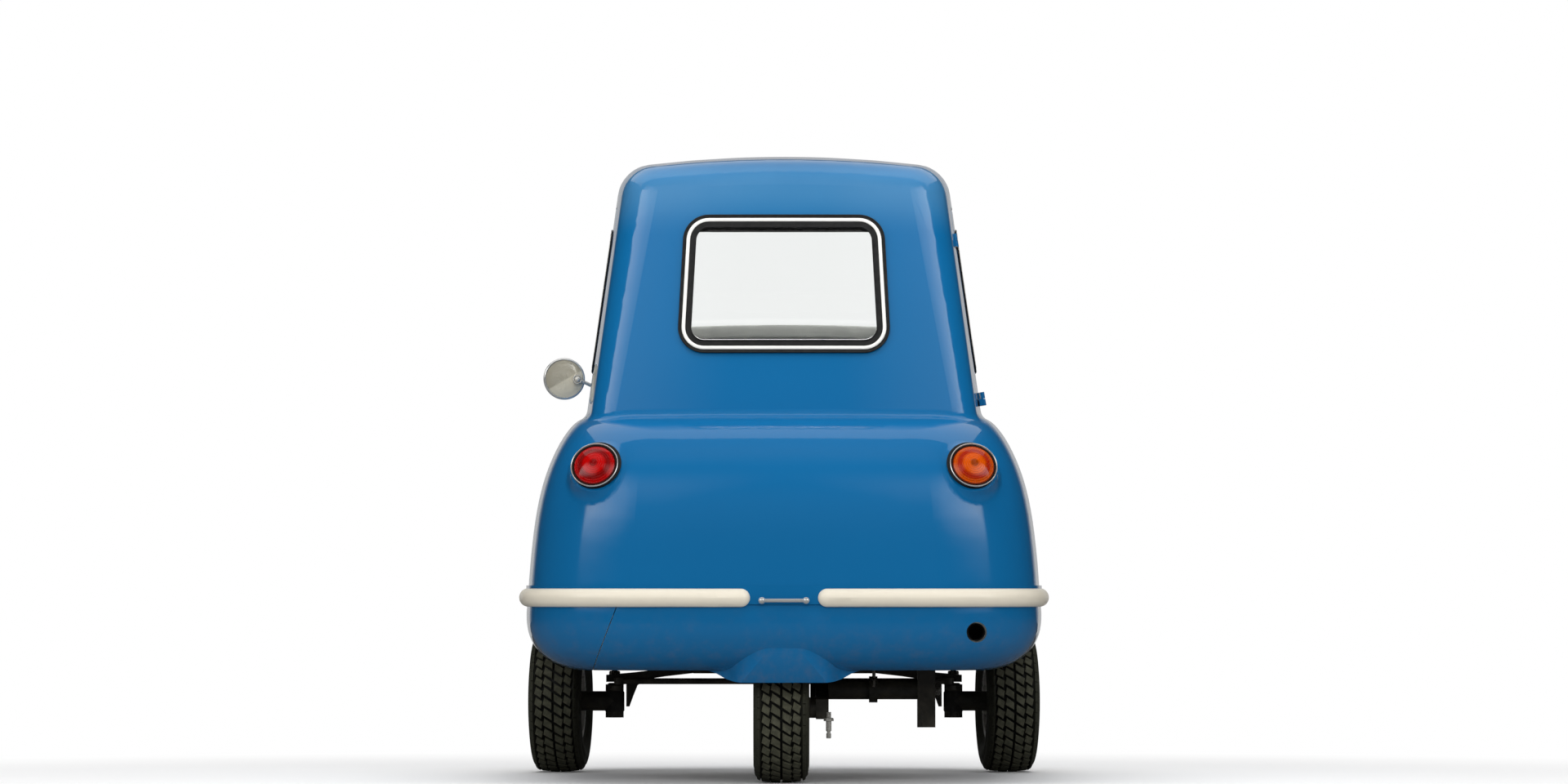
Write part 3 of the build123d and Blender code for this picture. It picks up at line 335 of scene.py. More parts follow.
BRUSHED = {"scale": 60.0, "grain": 500.0, "depth": 0.0001}
PAINT = paint_material()
GLASS = glass_material()
RUBBER = finish("black_rubber", rgb(26, 26, 26), rough=0.72, vary=0.25, scale=24.0, grain=420.0,
                depth=0.0004, strength=0.5, dust=rgb(70, 68, 62), dust_top=0.34)
TYRE = tyre_material()
CHROME = chrome_material()
MIRROR_BACK = mirror_material()
SATIN = finish("satin_steel", rgb(214, 211, 202), rough=0.26, metal=0.2, vary=0.1, **BRUSHED)
CREAM = finish("bumper_cream", rgb(236, 228, 210), rough=0.42, vary=0.05, scale=6.0, grain=500.0,
               depth=0.00015, dust=rgb(208, 199, 180), Coat_Weight=0.35, Coat_Roughness=0.18)
WHITE_STRIP = finish("filler_strip", rgb(241, 240, 235), rough=0.38, vary=0.03, grain=600.0, depth=0.0001,
                     Coat_Weight=0.3, Coat_Roughness=0.15)
SILVER = finish("wheel_silver", rgb(214, 214, 210), rough=0.32, metal=0.25, vary=0.1, scale=22.0, grain=700.0,
                depth=0.0001, dust=DUST, dust_top=0.3, Coat_Weight=0.4, Coat_Roughness=0.1)
PIN_STEEL = finish("bright_steel", rgb(205, 203, 196), rough=0.24, metal=0.5, vary=0.14, **BRUSHED)
STEEL = finish("bare_steel", rgb(170, 168, 162), rough=0.3, metal=0.95, vary=0.18, scale=60.0, grain=500.0,
               dust=rgb(110, 84, 60), dust_top=0.35)
CHASSIS = finish("chassis_black", rgb(34, 34, 31), rough=0.48, vary=0.3, scale=26.0, grain=160.0,
                 depth=0.0005, strength=0.5, dust=rgb(92, 84, 70), dust_top=0.36)
GUNMETAL = finish("exhaust_steel", rgb(52, 50, 47), rough=0.55, metal=0.6, vary=0.35, scale=45.0,
                  depth=0.0003, dust=rgb(60, 46, 36), dust_top=0.4)
ALLOY = finish("cast_alloy", rgb(128, 128, 124), metal=0.8, vary=0.16, scale=34.0, grain=260.0, depth=0.0006,
               strength=0.5)
DASH_FINISH = finish("dash_crackle", rgb(30, 31, 32), rough=0.6, vary=0.15, scale=30.0, grain=700.0,
                     depth=0.0006, strength=0.7)
PLASTIC = finish("moulded_black", rgb(20, 20, 21), rough=0.34, vary=0.15, scale=18.0, grain=300.0,
                 depth=0.0001, Coat_Weight=0.3, Coat_Roughness=0.1)
DIAL = finish("dial_face", rgb(14, 14, 15), vary=0.05, depth=0.00005)
IVORY = finish("dial_marks", rgb(226, 222, 205), vary=0.04, depth=0.00005)
VINYL = vinyl_material("seat_vinyl", rgb(38, 40, 44))
PIPING = vinyl_material("seat_piping", rgb(196, 194, 186))
ROLL_GREY = vinyl_material("roll_vinyl", rgb(232, 233, 227))
DARK_GAP = finish("lamp_gasket", rgb(12, 12, 12), rough=0.8, vary=0.2)
RED_LENS = lens_material("lens_red", rgb(184, 2, 2), rgb(118, 1, 1))
AMBER_LENS = lens_material("lens_amber", rgb(210, 82, 1), rgb(158, 26, 1))
SIGNAL_LENS = lens_material("lens_orange", rgb(236, 104, 6), rgb(206, 66, 3))
CLEAR_LENS = lens_material("lens_clear", (0.9, 0.92, 0.92), (0.8, 0.83, 0.84), clear=0.85)

LOOKS = {
    PAINT: ["upper_body", "lower_body", "engine_panel", "side_panel_left", "door"],
    GLASS: [name for name in NODES if name.endswith("_glass")],
    RUBBER: [name for name in NODES if name.endswith("_seal")],
    CREAM: [name for name in NODES if name.startswith("bumper_")],
    CHROME: ["rear_handle", "mirror_head", "wiper"],
    SATIN: ["mirror_arm"],
    SILVER: ["rim_front_left", "rim_front_right", "rim_rear"],
    CHASSIS: ["front_suspension", "rear_suspension", "knuckle_left", "knuckle_right", "seat_frame",
              "steering_column", "track_rod"],
    GUNMETAL: ["tail_pipe"],
    ALLOY: ["engine"],
    DASH_FINISH: ["dash"],
    PLASTIC: ["steering_wheel"],
}
for material, names in LOOKS.items():
    for name in names:
        data = NODES[name].data
        data.materials.clear()
        data.materials.append(material)


# -------- mesh kit
class Piece:
    """Collects points (mm) and faces of one piece before it is made."""

    def __init__(self, name, material, body="body"):
        self.name, self.material, self.body = name, material, body
        self.points, self.faces, self.uvs = [], [], []

    def add(self, points, faces, place=None):
        base = len(self.points)
        self.points += [place @ Vector(p) if place else Vector(p) for p in points]
        self.faces += [tuple(base + i for i in face) for face in faces]
        return self

    def make(self, smooth=40.0, bevel=0.0):
        data = bpy.data.meshes.new(self.name)
        data.from_pydata([p * MM for p in self.points], [], self.faces)
        data.validate()
        if self.uvs:
            layer = data.uv_layers.new(name="detail")
            for loop in data.loops:
                layer.data[loop.index].uv = self.uvs[loop.vertex_index]
        made = bpy.data.objects.new(self.name, data)
        scene.collection.objects.link(made)
        data.materials.append(self.material)
        smooth_shade(data, smooth)
        if bevel:
            rounding = made.modifiers.new("edges", "BEVEL")
            rounding.width, rounding.segments, rounding.limit_method = bevel * MM, 2, "ANGLE"
            rounding.angle_limit = math.radians(35)
        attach(made, self.body)
        return made


def smooth_shade(data, sharp_from):
    """Smooth faces, with edges sharp from an angle in degrees."""
    for polygon in data.polygons:
        polygon.use_smooth = True
    data.set_sharp_from_angle(angle=math.radians(sharp_from))


def frame_at(origin, z_dir, x_hint=X):
    """Matrix whose local Z is z_dir, for placing what is made upright."""
    z = Vector(z_dir).normalized()
    x = Vector(x_hint) - z * Vector(x_hint).dot(z)
    if x.length < 1e-6:
        x = Y - z * z.y
    x.normalize()
    turn = Matrix((x, z.cross(x), z)).transposed().to_4x4()
    return Matrix.Translation(Vector(origin)) @ turn


def revolved(profile, segments, closed=False):
    """Points and faces of a profile of (radius, height) turned about Z."""
    points, faces, count = [], [], len(profile)
    for i in range(segments):
        turn = math.tau * i / segments
        points += [(radius * math.cos(turn), radius * math.sin(turn), height) for radius, height in profile]
    for i in range(segments):
        j = (i + 1) % segments
        for k in range(count if closed else count - 1):
            m = (k + 1) % count
            faces.append((i * count + k, j * count + k, j * count + m, i * count + m))
    return points, faces


def turned(name, material, profile, segments, place, smooth=50.0, body="body"):
    """Piece that is one turned profile."""
    return Piece(name, material, body).add(*revolved(profile, segments), place).make(smooth=smooth)


def band(first, second, count):
    """Faces between two rings of points that begin at first and at second."""
    return [(first + k, first + (k + 1) % count, second + (k + 1) % count, second + k) for k in range(count)]


def swept(path, section, closed=False, up=None):
    """Section points (across, out) carried along a path; up gives the outward way at each point."""
    points, faces, count, m = [], [], len(path), len(section)
    for i, p in enumerate(path):
        before = path[i - 1] if (i or closed) else p
        after = path[(i + 1) % count] if (i < count - 1 or closed) else p
        along = (Vector(after) - Vector(before)).normalized()
        out = Vector(up[i]) if up else Z
        out = (out - along * out.dot(along)).normalized()
        side = out.cross(along)
        points += [Vector(p) + side * a + out * b for a, b in section]
    for i in range(count if closed else count - 1):
        faces += band(i * m, (i + 1) % count * m, m)
    if not closed:
        faces += [tuple(range(m))[::-1], tuple(range((count - 1) * m, count * m))]
    return points, faces


def circle(radius, sides=10, flat=1.0):
    """Points round a circle, squashed in their second direction by flat."""
    turns = [math.tau * k / sides for k in range(sides)]
    return [(radius * math.cos(turn), radius * flat * math.sin(turn)) for turn in turns]


def hex_nut(radius, height, stud=0.0):
    """Chamfered hexagon standing on Z = 0, with a stud through it."""
    points = []
    for r, h in ((radius, 0.0), (radius, height - radius * 0.16), (radius * 0.86, height)):
        points += [(a, b, h) for a, b in circle(r, 6)]
    faces = band(0, 6, 6) + band(6, 12, 6) + [tuple(range(12, 18))]
    if stud:
        tip = height + 2.8
        profile = [(stud, height - 0.2), (stud, tip - 0.6), (stud * 0.7, tip), (0.01, tip)]
        rod, rod_faces = revolved(profile, 12)
        faces += [tuple(len(points) + i for i in face) for face in rod_faces]
        points += rod
    return points, faces


def block(low_half, low, high_half, high, along=0.0):
    """Points and faces of a four-sided block between two heights, its bottom face first."""
    points = []
    for (half_x, half_y), height in ((low_half, low), (high_half, high)):
        points += [(x * half_x, along + y * half_y, height) for x, y in SQUARE]
    return points, [(3, 2, 1, 0), (4, 5, 6, 7)] + band(0, 4, 4)


def tree_of(data):
    faces = [tuple(polygon.vertices) for polygon in data.polygons]
    return BVHTree.FromPolygons([v.co / MM for v in data.vertices], faces)


def hit(tree, origin, direction):
    """First surface point and its outward normal along a ray in mm."""
    place, normal = tree.ray_cast(Vector(origin), Vector(direction).normalized())[:2]
    if place is None:
        return None
    return place, -normal if normal.dot(Vector(direction)) > 0 else normal


def hits(tree, origins, direction):
    """Surface points and normals for the rays that meet the surface."""
    tries = [hit(tree, origin, direction) for origin in origins]
    return zip(*[found for found in tries if found])


# -------- wheels
WHEELS = {
    "front_left": ((-FRONT_X, FRONT_Y, TYRE_R), 180.0 - TOE_DEG),
    "front_right": ((FRONT_X, FRONT_Y, TYRE_R), TOE_DEG),
    "rear": ((REAR_X, REAR_Y, TYRE_R), 180.0),
}
# Tread: blocks round the tyre, half their length, columns across, slant, and depth of the grooves
PITCHES, BLOCK_HALF, LEAN, GROOVE = 42, 7.3, 0.66, 6.0
COLUMNS = [(-35.4, -22), (-18.4, -2.2), (2.2, 18.4), (22, 35.4)]
SHOULDER_BLOCKS = [(-45.5, -40.0), (40.0, 45.5)]
CROWN_HALF, CROWN_DROP = 38.5, 3.0
# Side wall from the bead to the tread: distance across from the middle, and radius
SIDE_WALL = [
    (38, 67.4), (38, 76), (40.5, 79), (42.2, 76), (43.2, 84.2), (46.2, 87.5), (49, 92),
    (51.2, 98), (51.6, 100.5), (52.4, 102), (52.5, 108), (52.2, 112), (51.4, 113.2), (51.2, 118),
    (50.2, 122.5), (50.6, 123.6), (49.4, 127), (46.2, 130.6), (42, 133.6),
]
VALVE_AT, VALVE_WAY = (22.0, 0.0, -54.0), (0.85, 0.0, 0.35)
VALVE = [(0.02, -4), (4.2, -4), (3.6, 4), (2.8, 12), (3.2, 13), (3.2, 19), (2.2, 20.5), (0.02, 20.5)]
NUT_CIRCLE_R, NUT_FACE_X = 29.0, 18.9


def crown(x):
    """Radius of the tread's surface at a distance across it."""
    if abs(x) < CROWN_HALF:
        return TYRE_R - CROWN_DROP * (x / CROWN_HALF) ** 2
    return TYRE_R - CROWN_DROP - (abs(x) - CROWN_HALF) ** 1.9 * 0.085


def tread_block(piece, place, low, high, middle, half, depth, inset, lean, shear):
    """Block between two distances across the tyre, slanted by lean and skewed by shear."""
    def corner(x, along, drop):
        turn = middle + (along + lean * x) / TYRE_R
        aside = shear * along / half * min(1.0, (abs(x) / 16.0) ** 2)
        radius = crown(x) - drop
        return x + aside, radius * math.cos(turn), radius * math.sin(turn)

    points = []
    for gap, drop in ((-0.5, depth), (0.0, inset), (inset, 0.0)):
        left, right, end = low + gap, high - gap, half - gap
        points += [corner(left, -end, drop), corner(right, -end, drop)]
        points += [corner(right, end, drop), corner(left, end, drop)]
    piece.add(points, [(8, 9, 10, 11)] + band(0, 4, 4) + band(4, 8, 4), place)


def tyre(name, place):
    piece = Piece(f"tread_{name}", TYRE, f"wheel_{name}")
    tread = [(x, crown(x) - 5.2) for x in (-36.0, -22.0, -8.0, 8.0, 22.0, 36.0)]
    profile = [(-x, r) for x, r in SIDE_WALL] + tread + [(x, r) for x, r in reversed(SIDE_WALL)]
    ring, faces = revolved([(r, x) for x, r in profile], 126, closed=True)
    piece.add([(z, x, y) for x, y, z in ring], faces, place)
    pitch = math.tau / PITCHES
    for k in range(PITCHES):
        for column, (low, high) in enumerate(COLUMNS):
            middle = (k + 0.5) * pitch if column in (1, 2) else k * pitch
            tread_block(piece, place, low, high, middle, BLOCK_HALF, GROOVE, 0.9, LEAN, -1.6)
        for low, high in SHOULDER_BLOCKS:
            tread_block(piece, place, low, high, (k + 0.25) * pitch, 9.9, 4.0, 0.5, 0.15, 0.0)
    back = place.inverted()
    for point in piece.points:
        x, y, z = back @ point
        drop = crown(x) - math.hypot(y, z) if abs(x) < CROWN_HALF + 0.1 else 1.6
        piece.uvs.append((min(1.0, max(0.0, drop / 4.0)), 0.5))
    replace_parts(piece.make(smooth=38.0), f"tyre_{name}")


def wheel_fittings(name, place):
    """Valve, and four nuts on washers."""
    body = f"wheel_{name}"
    turned(f"valve_{name}", RUBBER, VALVE, 16, place @ frame_at(VALVE_AT, VALVE_WAY), 40.0, body)
    nuts = Piece(f"wheel_nuts_{name}", CHROME, body)
    for k in range(4):
        turn = math.radians(45 + 90 * k)
        at = place @ frame_at((NUT_FACE_X, NUT_CIRCLE_R * math.cos(turn), NUT_CIRCLE_R * math.sin(turn)), X)
        nuts.add(*hex_nut(8.0, 7.5, 4.0), at)
        nuts.add(*revolved([(9.4, 0.0), (9.4, 1.4), (7.0, 1.6)], 24), at)
    nuts.make()


for name, (centre, turn) in WHEELS.items():
    place = Matrix.Translation(Vector(centre)) @ Matrix.Rotation(math.radians(turn), 4, "Z")
    tyre(name, place)
    wheel_fittings(name, place)

# -------- lines laid on the outside of the car
OUTSIDE = 900.0
# How a drawing of (a, b) points lies in space beside each face of the car, and the way to look from there
FACES = {
    "rear": (lambda a, b: (a, -OUTSIDE, b), Y),
    "front": (lambda a, b: (a, OUTSIDE, b), -Y),
    "left": (lambda a, b: (-OUTSIDE, a, b), X),
    "right": (lambda a, b: (OUTSIDE, a, b), -X),
}


def rounded_loop(corners, grow, step=6.0):
    """Points round a polygon of (a, b, radius), moved outwards by grow."""
    count, arcs = len(corners), []
    area = sum(corners[k - 1][0] * corners[k][1] - corners[k][0] * corners[k - 1][1] for k in range(count))
    order = corners if area > 0 else corners[::-1]
    for k, (a, b, radius) in enumerate(order):
        point = Vector((a, b))
        before = (Vector(order[k - 1][:2]) - point).normalized()
        after = (Vector(order[(k + 1) % count][:2]) - point).normalized()
        half = before.angle(after) / 2
        centre = point + (before + after).normalized() * (radius / math.sin(half))
        start = point + before * (radius / math.tan(half)) - centre
        end = point + after * (radius / math.tan(half)) - centre
        first = math.atan2(start.y, start.x)
        sweep = (math.atan2(end.y, end.x) - first + math.pi) % math.tau - math.pi
        pieces = max(4, int(abs(sweep) * (radius + grow) / step))
        turns = [first + sweep * i / pieces for i in range(pieces + 1)]
        arcs.append([centre + Vector((math.cos(turn), math.sin(turn))) * (radius + grow) for turn in turns])
    loop = []
    for k, arc in enumerate(arcs):
        gap = arcs[(k + 1) % count][0] - arc[-1]
        pieces = max(1, int(gap.length / (step * 3)))
        loop += arc + [arc[-1] + gap * i / pieces for i in range(1, pieces)]
    return loop


def window_table(window):
    foot, head, low, high, radius = window
    return [(-foot, low, radius), (foot, low, radius), (head, high, radius), (-head, high, radius)]


def on_seal(window, table, face, grow):
    """Loop laid on a seal's outer face: its points and outward ways."""
    to_space, direction = FACES[face]
    origins = [to_space(a, b) for a, b in rounded_loop(table, grow)]
    return hits(tree_of(NODES[f"{window}_seal"].data), origins, direction)


def laid(name, material, path, ways, section, smooth, body="body", closed=True):
    """Piece that is one section carried along a line on a surface."""
    Piece(name, material, body).add(*swept(path, section, closed, ways)).make(smooth=smooth)


# -------- window rubbers' filler strips and beads
STRIP = [(-3.5, -0.6), (-3.2, 0.7), (-1.8, 1.5), (0, 1.75), (1.8, 1.5), (3.2, 0.7), (3.5, -0.6)]
# How far out of the window's outline the strip and the two beads lie
STRIP_GROW, BEADS = -1.0, {"lip": 7.6, "inner": -14.6}
# Outline, face of the car, body, and the beads' radius
SEALS = {
    "rear_window": (window_table(REAR_WINDOW), "rear", "body", 1.5),
    "windscreen": (window_table(WINDSCREEN), "front", "body", 1.5),
    "side_window_left": (SIDE_WINDOW, "left", "body", 1.0),
    "side_window_right": (SIDE_WINDOW, "right", "door", 1.0),
}
for name, (table, face, body, radius) in SEALS.items():
    laid(f"{name}_strip", WHITE_STRIP, *on_seal(name, table, face, STRIP_GROW), STRIP, 60.0, body)
    for label, grow in BEADS.items():
        path, ways = on_seal(name, table, face, grow)
        laid(f"{name}_{label}_bead", RUBBER, path, ways, circle(radius, 8), 60.0, body)


# -------- rubber in the gaps of the door and the panels
def seam(name, node, points, face, gap, depth, closed=True):
    """Round rubber laid below the surface of the gap along a line of (a, b) points."""
    to_space, direction = FACES[face]
    axis = 0 if direction.x else 1
    tree, path, ways = tree_of(NODES[node].data), [], []
    middle = sum((Vector(p) for p in points), Vector((0.0, 0.0))) / len(points)
    for a, b in points:
        aside = (Vector((a, b)) - middle).normalized() * (gap / 2 + 4.0)
        found = hit(tree, to_space(a + aside.x, b + aside.y), direction)
        if found:
            at = Vector(to_space(a, b))
            at[axis] = found[0][axis]
            path.append(at - found[1] * depth)
            ways.append(found[1])
    laid(name, RUBBER, path, ways, circle(gap / 2), 80.0, closed=closed)


head, foot = (Vector(point) for point in ENGINE_PANEL_EDGE)
panel_edge = [head.lerp(foot, k / 20) - Vector((0.8, 0.0)) for k in range(21)]
door_loop, panel_loop = (rounded_loop(DOOR_OUTLINE, -gap / 2) for gap in (DOOR_GAP, PANEL_GAP))
seam("door_rubber", "upper_body", door_loop, "right", DOOR_GAP - 0.8, 4.4)
seam("panel_rubber", "upper_body", panel_loop, "left", PANEL_GAP - 0.4, 2.6)
seam("engine_panel_rubber", "lower_body", panel_edge, "rear", 1.6, 1.6, closed=False)

# -------- lamps
# Rings turned about a lamp's axis: how far out of the lamp's radius, and the height
BEZEL = [
    (-7, -LAMP_SHANK), (-6.4, 2), (-4.6, 5), (-3, 7.2), (-2.6, 8.6), (-3.1, 9.6), (-3.8, 9.9),
    (-4.5, 9.5), (-4.8, 8.6), (-4.8, 6.4), (-4.8, 2),
]
FLANGE = [(-6, -LAMP_SHANK), (-2.4, -1), (-1.2, 0.4), (-1, 1.6), (-1.7, 2.6), (-3, 2.9), (-7, 2.6)]
GASKET = [(-4.8, 6.2), (-6.6, 7), (-7.9, 6.8), (-8.2, 5.4)]
FLANGE_SHIFT = (-3.0, 0.0, 3.4)
LENS_IN, LENS_EDGE, LENS_TOP = 8.0, 6.6, 18.4
INDICATOR_WAY = (0.35, 0.90, 0.26)
INDICATOR_BASE = [
    (20, -30), (20, 0), (23.4, 0.2), (24, 1.2), (23.6, 4), (21.5, 6.6), (19, 7.4), (18, 6.4), (17.4, 3),
]
REFLECTOR = [(59.5, 3), (54, 0.6), (44, -0.6), (30, -1.6), (14, -2.2), (0.02, -2.4)]
BULB = [(7.5, -2), (7.5, 1), (5.2, 2), (6.4, 5), (6, 8.5), (3.6, 11), (0.02, 11.8)]


def around(radius, ring):
    return [(radius + out, height) for out, height in ring]


def mirrored(place, sign):
    return sign * place[0], place[1], place[2]


def lens_piece(name, material, profile, place, segments=96):
    """Lens whose u runs from the middle to the edge and v round it."""
    piece = Piece(name, material)
    points, faces = revolved(profile, segments)
    reach = max(radius for radius, height in profile)
    piece.add(points, faces, place)
    piece.uvs = [(math.hypot(x, y) / reach, (math.atan2(y, x) / math.tau) % 1.0) for x, y, z in points]
    piece.make(smooth=60.0)


def dome(radius, low, high, steps=16):
    """Spherical cap from its edge to its middle, lightly stepped with rings."""
    rise = high - low
    ball = (radius * radius + rise * rise) / (2 * rise)
    points = []
    for k in range(steps + 1):
        r = radius * (1 - k / steps)
        ripple = 0.35 if k % 2 and k < steps else 0.0
        points.append((max(r, 0.02), low + math.sqrt(ball * ball - r * r) - (ball - rise) + ripple))
    return points


def round_lamp(name, lens, radius, place, shift=(0.0, 0.0, 0.0)):
    """Bezel, gasket, back plate and lens, on a rubber flange that may be shifted."""
    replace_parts(turned(f"{name}_bezel", CHROME, around(radius, BEZEL), 96, place), name)
    below = Matrix.Translation(Vector(shift)) @ place
    turned(f"{name}_flange", RUBBER, around(radius, FLANGE), 96, below)
    turned(f"{name}_gasket", DARK_GAP, around(radius, GASKET), 72, place, 40.0)
    plate = [(radius - 3.9, -LAMP_SHANK), (20.0, -LAMP_SHANK), (0.02, -LAMP_SHANK)]
    turned(f"{name}_backplate", DARK_GAP, plate, 48, place, 40.0)
    glass = [(radius - LENS_IN + 0.1, 4.0)] + dome(radius - LENS_IN, LENS_EDGE, LENS_TOP)
    lens_piece(f"{name}_lens", lens, glass, place)


def tail_lamp(side, sign, lens):
    level = math.cos(LAMP_TILT)
    aim = (math.sin(LAMP_YAW) * level, -math.cos(LAMP_YAW) * level, math.sin(LAMP_TILT))
    place = frame_at(mirrored(LAMP_AT, sign), mirrored(aim, sign))
    round_lamp(f"tail_lamp_{side}", lens, LAMP_R, place, mirrored(FLANGE_SHIFT, sign))


def indicator(side, sign):
    place = frame_at(mirrored(INDICATOR_AT, sign), mirrored(INDICATOR_WAY, sign))
    base = turned(f"indicator_{side}_base", CHROME, INDICATOR_BASE, 64, place)
    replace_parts(base, f"indicator_{side}")
    glass = [(17.4, 2.4)] + dome(17.2, 5.2, 13.0, 12)
    lens_piece(f"indicator_{side}_lens", SIGNAL_LENS, glass, place, segments=64)


SIDES = {"left": -1, "right": 1}
for side, lens in (("left", RED_LENS), ("right", AMBER_LENS)):
    tail_lamp(side, SIDES[side], lens)
    indicator(side, SIDES[side])
lamp_place = frame_at(HEADLAMP_AT, Y)
round_lamp("headlamp", CLEAR_LENS, HEADLAMP_R, lamp_place)
turned("headlamp_reflector", CHROME, REFLECTOR, 72, lamp_place, 60.0)
turned("headlamp_bulb", CHROME, BULB, 32, lamp_place, 60.0)

# -------- mirror and door handle
MIRROR_SILVER = [(37.2, 4.6), (36.9, 5.5), (35.4, 5.9), (24, 6.1), (12, 6.2), (0.02, 6.2)]
MIRROR_BALL, MIRROR_ARM_END, BALL_R = Vector((-409.0, 281.0, 779.0)), Vector((-374.0, 308.0, 763.0)), 6.0
BALL_COLLAR = [(9, -5), (9.4, 1), (8.4, 2.4), (7.2, 2), (6.6, 0.4)]
HANDLE_Y, HANDLE_Z = 214.0, 596.0
HANDLE_ROSE = [
    (17, -0.5), (17, 1.2), (15.5, 2.2), (10, 2.8), (8.2, 3.4), (7.6, 5), (8.4, 6), (8.4, 10), (7, 11.6),
    (0.02, 12),
]
# Middle line of the lever: along it and out of the door
LEVER = [(-4, 8.6), (-20, 9), (-40, 9), (-62, 8.4), (-78, 7), (-84, 5.8)]

turned("mirror_glass", MIRROR_BACK, MIRROR_SILVER, 72, frame_at(MIRROR_DISC, MIRROR_FACE))
half_turn = [math.pi * k / 14 for k in range(15)]
sphere = [(BALL_R * math.sin(turn) + 0.01, -BALL_R * math.cos(turn)) for turn in half_turn]
joint = Piece("mirror_ball", SATIN)
joint.add(*revolved(sphere, 28), Matrix.Translation(MIRROR_BALL))
joint.add(*revolved(BALL_COLLAR, 32), frame_at(MIRROR_BALL, MIRROR_FACE))
joint.add(*swept([MIRROR_BALL.lerp(MIRROR_ARM_END, k / 4) for k in range(5)], circle(3.0, 14)))
joint.make(smooth=50.0)

on_door = hit(tree_of(NODES["door"].data), (OUTSIDE, HANDLE_Y, HANDLE_Z), -X)
root = frame_at(*on_door, Y)
handle = Piece("door_handle", CHROME, "door")
handle.add(*revolved(HANDLE_ROSE, 40), root)
handle.add(*swept([Vector((along, 0, out)) for along, out in LEVER], circle(6.0, 12, 2.6 / 6.0)), root)
handle.make(smooth=50.0)

# -------- running gear details
ADJUSTER_X, ADJUSTER_Y, ADJUSTER_Z, ADJUSTER_NUT_Z = 84.0, -478.0, 83.5, 116.0
ADJUSTER_PIN = [
    (0.02, 0), (3.6, 0), (4.6, 1.2), (4.6, 9), (3.4, 10), (3.4, 13), (5.2, 14), (5.2, 33), (7.4, 34),
    (7.4, 37),
]
THREAD_Z, THREAD_PITCH = 37.4, 2.2
BRAKE_ROD_X, BRAKE_ROD_Y, BRAKE_ROD_Z, BRAKE_NUT_Z = 171.0, -309.0, (178.0, 196.0, 211.5), 190.0
KINGPIN_NUT_Z = 193.0
BOOT = [
    (0.02, 110), (8, 110), (9, 111.5), (9, 117), (17, 118.5), (19.5, 122), (19.5, 158), (18, 160.5),
    (15.5, 162), (17, 164.5), (14.5, 167), (16, 169.5), (13.5, 172), (14.5, 174.5), (11, 177), (8, 177),
]

thread = []
for k in range(6):
    thread += [(5.0, THREAD_Z + k * THREAD_PITCH), (4.2, THREAD_Z + (k + 0.5) * THREAD_PITCH)]
adjuster = Piece("brake_adjuster", PIN_STEEL)
adjuster.add(*revolved(ADJUSTER_PIN + thread, 24), frame_at((ADJUSTER_X, ADJUSTER_Y, ADJUSTER_Z), Z))
adjuster.add(*hex_nut(9.5, 6.0), frame_at((ADJUSTER_X, ADJUSTER_Y, ADJUSTER_NUT_Z), Z))
adjuster.make()
rod = Piece("brake_rod", STEEL)
rod.add(*swept([(BRAKE_ROD_X, BRAKE_ROD_Y, z) for z in BRAKE_ROD_Z], circle(3.2, 12), up=[X, X, X]))
rod.add(*hex_nut(6.5, 5.0), frame_at((BRAKE_ROD_X, BRAKE_ROD_Y, BRAKE_NUT_Z), Z))
rod.make()
pivot = frame_at((HANGER_OUTER_X + 0.2, PIVOT_Y, PIVOT_Z), X)
Piece("pivot_bolts", STEEL).add(*hex_nut(13.0, 9.0, 6.0), pivot).make()
for side, sign in SIDES.items():
    nut_place = frame_at((sign * KINGPIN_X, KINGPIN_Y, KINGPIN_NUT_Z), Z)
    Piece(f"kingpin_nut_{side}", STEEL).add(*hex_nut(11.0, 8.0, 6.0), nut_place).make()
    boot_place = Matrix.Translation((sign * KINGPIN_X, KINGPIN_Y, 0.0))
    turned(f"kingpin_boot_{side}", RUBBER, BOOT, 40, boot_place, body=f"knuckle_{side}_body")

# -------- roll at the foot of the windscreen
ROLL_HALF, ROLL_STEPS, ROLL_Z, ROLL_RISE = 244.0, 32, 868.5, 7.0
screen_tree, path = tree_of(NODES["windscreen_seal"].data), []
for k in range(ROLL_STEPS + 1):
    x = -ROLL_HALF + 2 * ROLL_HALF * k / ROLL_STEPS
    places, ways = hits(screen_tree, [(x * 0.85, 0.0, z) for z in (860.0, 870.0, 880.0)], Y)
    near = min(place.y for place in places)
    path.append((x, near - 10.0, ROLL_Z + ROLL_RISE * (1 - (x / 250.0) ** 2)))
Piece("screen_roll", ROLL_GREY).add(*swept(path, circle(6.5, 20, 12.5 / 6.5))).make(smooth=60.0)

# -------- horn button, gauge and switches
HORN = [(22, -0.5), (22, 2.4), (20.5, 4.4), (18.5, 5), (17.8, 4.4), (14, 6.2), (7, 7.4), (0.02, 7.8)]
GAUGE_BEZEL = [(42.4, -8), (42.6, 0.5), (41.5, 2.6), (39.5, 3.2), (37.8, 2.4), (37.2, 0.6)]
SWITCH = [(9, -2), (9, 2), (7.5, 3.4), (4, 4), (3.4, 6), (3, 15), (4.6, 17), (4.2, 21), (0.02, 22)]
SWITCH_X = (-150, -105, 105, 150)
DIAL_MARKS, DIAL_START, DIAL_SWEEP, DIAL_R = 25, 225, 270, 34.0


def dial_way(degrees):
    """Ways along and across a mark of the dial."""
    turn = math.radians(degrees)
    along = Vector((math.cos(turn), math.sin(turn), 0.0))
    return along, Vector((-along.y, along.x, 0.0))


